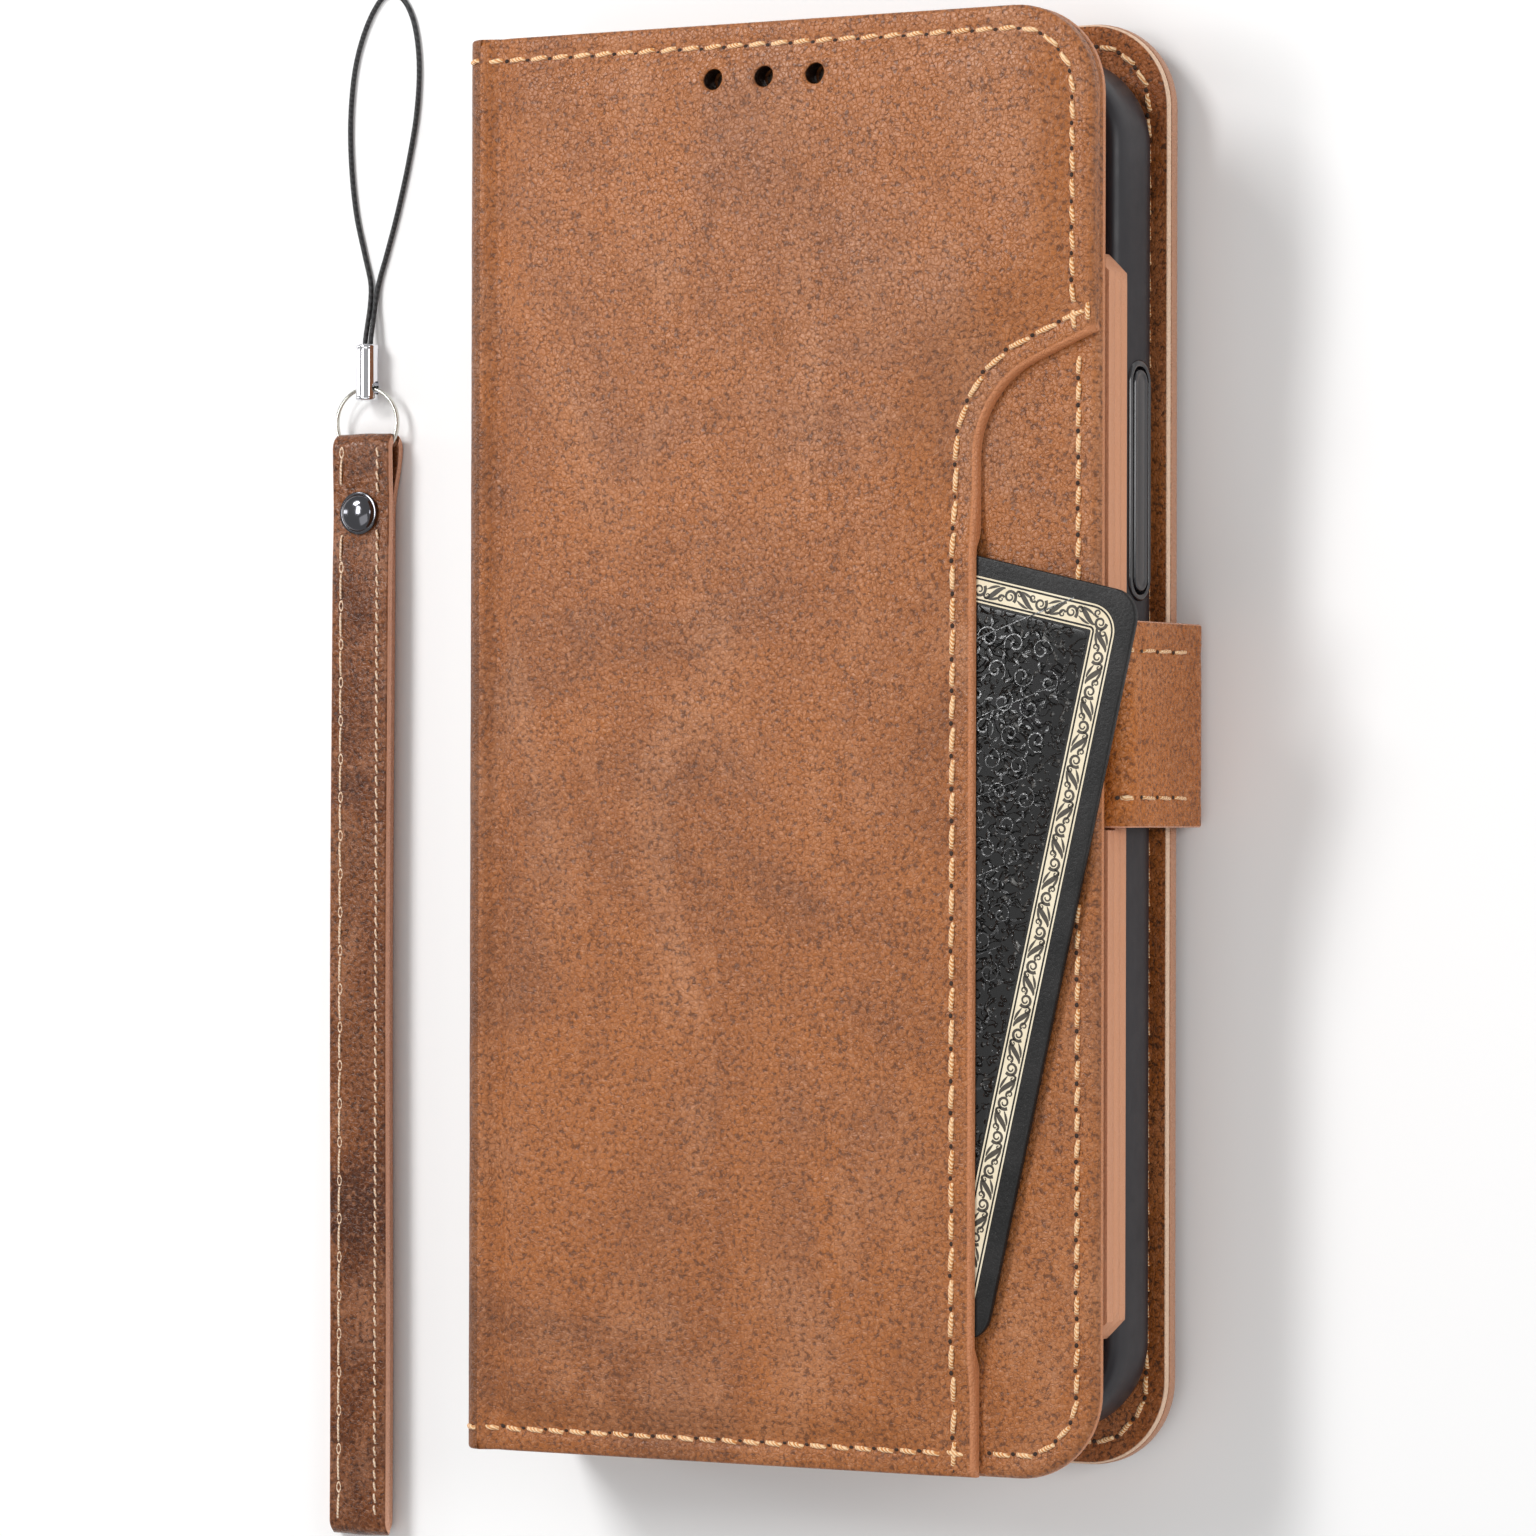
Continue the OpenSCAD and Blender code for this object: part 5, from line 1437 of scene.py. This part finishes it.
items = []
g = np.random.default_rng(5)
top_z = WRIST_T - 0.19
for y in np.arange(y1 - 0.5, y0, -KNOT_PITCH):
    if abs(y - 2.3 - RIVET_Y) < 2.6:
        continue
    items.append(([WRIST_X - WRIST_ROW, y - 2.3, top_z], [0.03 * g.normal(), -1.0, 0], [0, 0, 1.0], LONG_STITCH))
for y in np.arange(y1 - 0.5, y0, -SHORT_PITCH):
    if abs(y - RIVET_Y) < 2.3:
        continue
    items.append(([WRIST_X + WRIST_ROW, y, top_z], [0.22, -0.97, 0], [0, 0, 1.0], SHORT_STITCH))


def knot(y):
    """A small flat loop of thread between two long stitches."""
    c = np.array([WRIST_X - 2.5, y, top_z + 0.02])

    def point(a, b):
        r = 1 + 0.32 * math.cos(b)
        return c + [0.26 * r * math.cos(a), 0.58 * r * math.sin(a), 0.11 * math.sin(b)]
    return hoop(16, 6, point)


v, f, _ = stitch_mesh(items, 0.30, 0.24, holes=False)
v, f = merge([(v, f)] + [knot(y) for y in np.arange(y1 - 0.5, y0, -KNOT_PITCH) if abs(y - RIVET_Y) >= 3.0])
build("wrist_stitches", table(v), f, PALE, "wrist_strap", ("wrist_stitching",), "pale_thread", sharp=70)

head = [(0, 0.35), (1.0, 0.35), (1.0, 3.7), (2.35, 3.72), (2.55, 3.78), (2.60, 3.9), (2.58, 4.02), (2.50, 4.10),
        (2.36, 4.13), (2.26, 4.12), (2.20, 4.2), (2.05, 4.42), (1.75, 4.64), (1.35, 4.82), (0.9, 4.93), (0.45, 4.985),
        (0, 5.0)]
cap = [(0, 0.02), (1.9, 0.02), (2.05, 0.10), (2.1, 0.3), (2.0, 0.5), (0.9, 0.62), (0, 0.62)]
v, f = merge([lathe(head, 56), lathe(cap, 48)])
build("wrist_rivet_head", table(v + [WRIST_X, RIVET_Y, 0]), f, DARK_CHROME, "wrist_strap", ("wrist_rivet",),
      "dark_chrome", sharp=30)

# the ring is two turns of wire, one above the other
wire_r, turns, n = 0.225, 1.94, 150
v = []
for i in range(n + 1):
    t = i / n
    a = 2 * np.pi * turns * t + 2.6
    z = WRIST_T / 2 - wire_r + 2 * wire_r * t
    c = np.array([RING_R * math.cos(a), RING_R * math.sin(a), z])
    out = np.array([math.cos(a), math.sin(a), 0])
    taper = min(1.0, 0.55 + 8 * min(t, 1 - t))
    for k in range(10):
        b = 2 * np.pi * k / 10
        v.append(c + wire_r * taper * (math.cos(b) * out + np.array([0, 0, math.sin(b)])))
build("split_ring", table(np.array(v) + [WRIST_X, RING_Y, 0]), skin(n + 1, 10), WIRE, "ring", ("wrist_ring",),
      "bright_wire", sharp=50)

# ---------- floor and light ----------

floor_n = Nodes("floor_white")
floor_n.surface(floor_n.mix(floor_n.noise(8, 2), (0.90, 0.90, 0.90), (0.93, 0.93, 0.93)), 0.9, None,
                {"Specular IOR Level": 0.1})
me = bpy.data.meshes.new("floor")
me.from_pydata([(-3, -3, 0), (3, -3, 0), (3, 3, 0), (-3, 3, 0)], [], [(0, 1, 2, 3)])
me.materials.append(floor_n.mat)
floor = bpy.data.objects.new("floor", me)
COLLECTION.objects.link(floor)


def area(name, at, to, size, power):
    data = bpy.data.lights.new(name, "AREA")
    data.shape = "RECTANGLE"
    data.size, data.size_y = size
    data.energy = power
    obj = bpy.data.objects.new(name, data)
    obj.location = at
    obj.visible_camera = False
    obj.rotation_euler = (Vector(to) - Vector(at)).to_track_quat("-Z", "Y").to_euler()
    COLLECTION.objects.link(obj)


world = bpy.data.worlds.new("studio")
world.use_nodes = True
world.node_tree.nodes["Background"].inputs[0].default_value = (1, 1, 1, 1)
world.node_tree.nodes["Background"].inputs[1].default_value = 0.40
bpy.context.scene.world = world
area("sheen", (-0.19, 0.10, 0.37), (0, 0.07, 0.02), (0.14, 0.08), 0.42)
area("key", (-0.46, 0.54, 0.74), (0, 0.06, 0), (0.34, 0.20), 4.6)
area("left", (-0.98, 0.12, 0.32), (-0.03, 0.02, 0.01), (0.12, 0.5), 1.2)
area("side", (0.85, 0.15, 0.42), (0, 0, 0), (0.25, 0.8), 2.8)
area("fill", (0.10, -0.45, 1.0), (0, 0, 0), (0.8, 0.8), 2.2)
bpy.context.scene.view_settings.view_transform = "Standard"
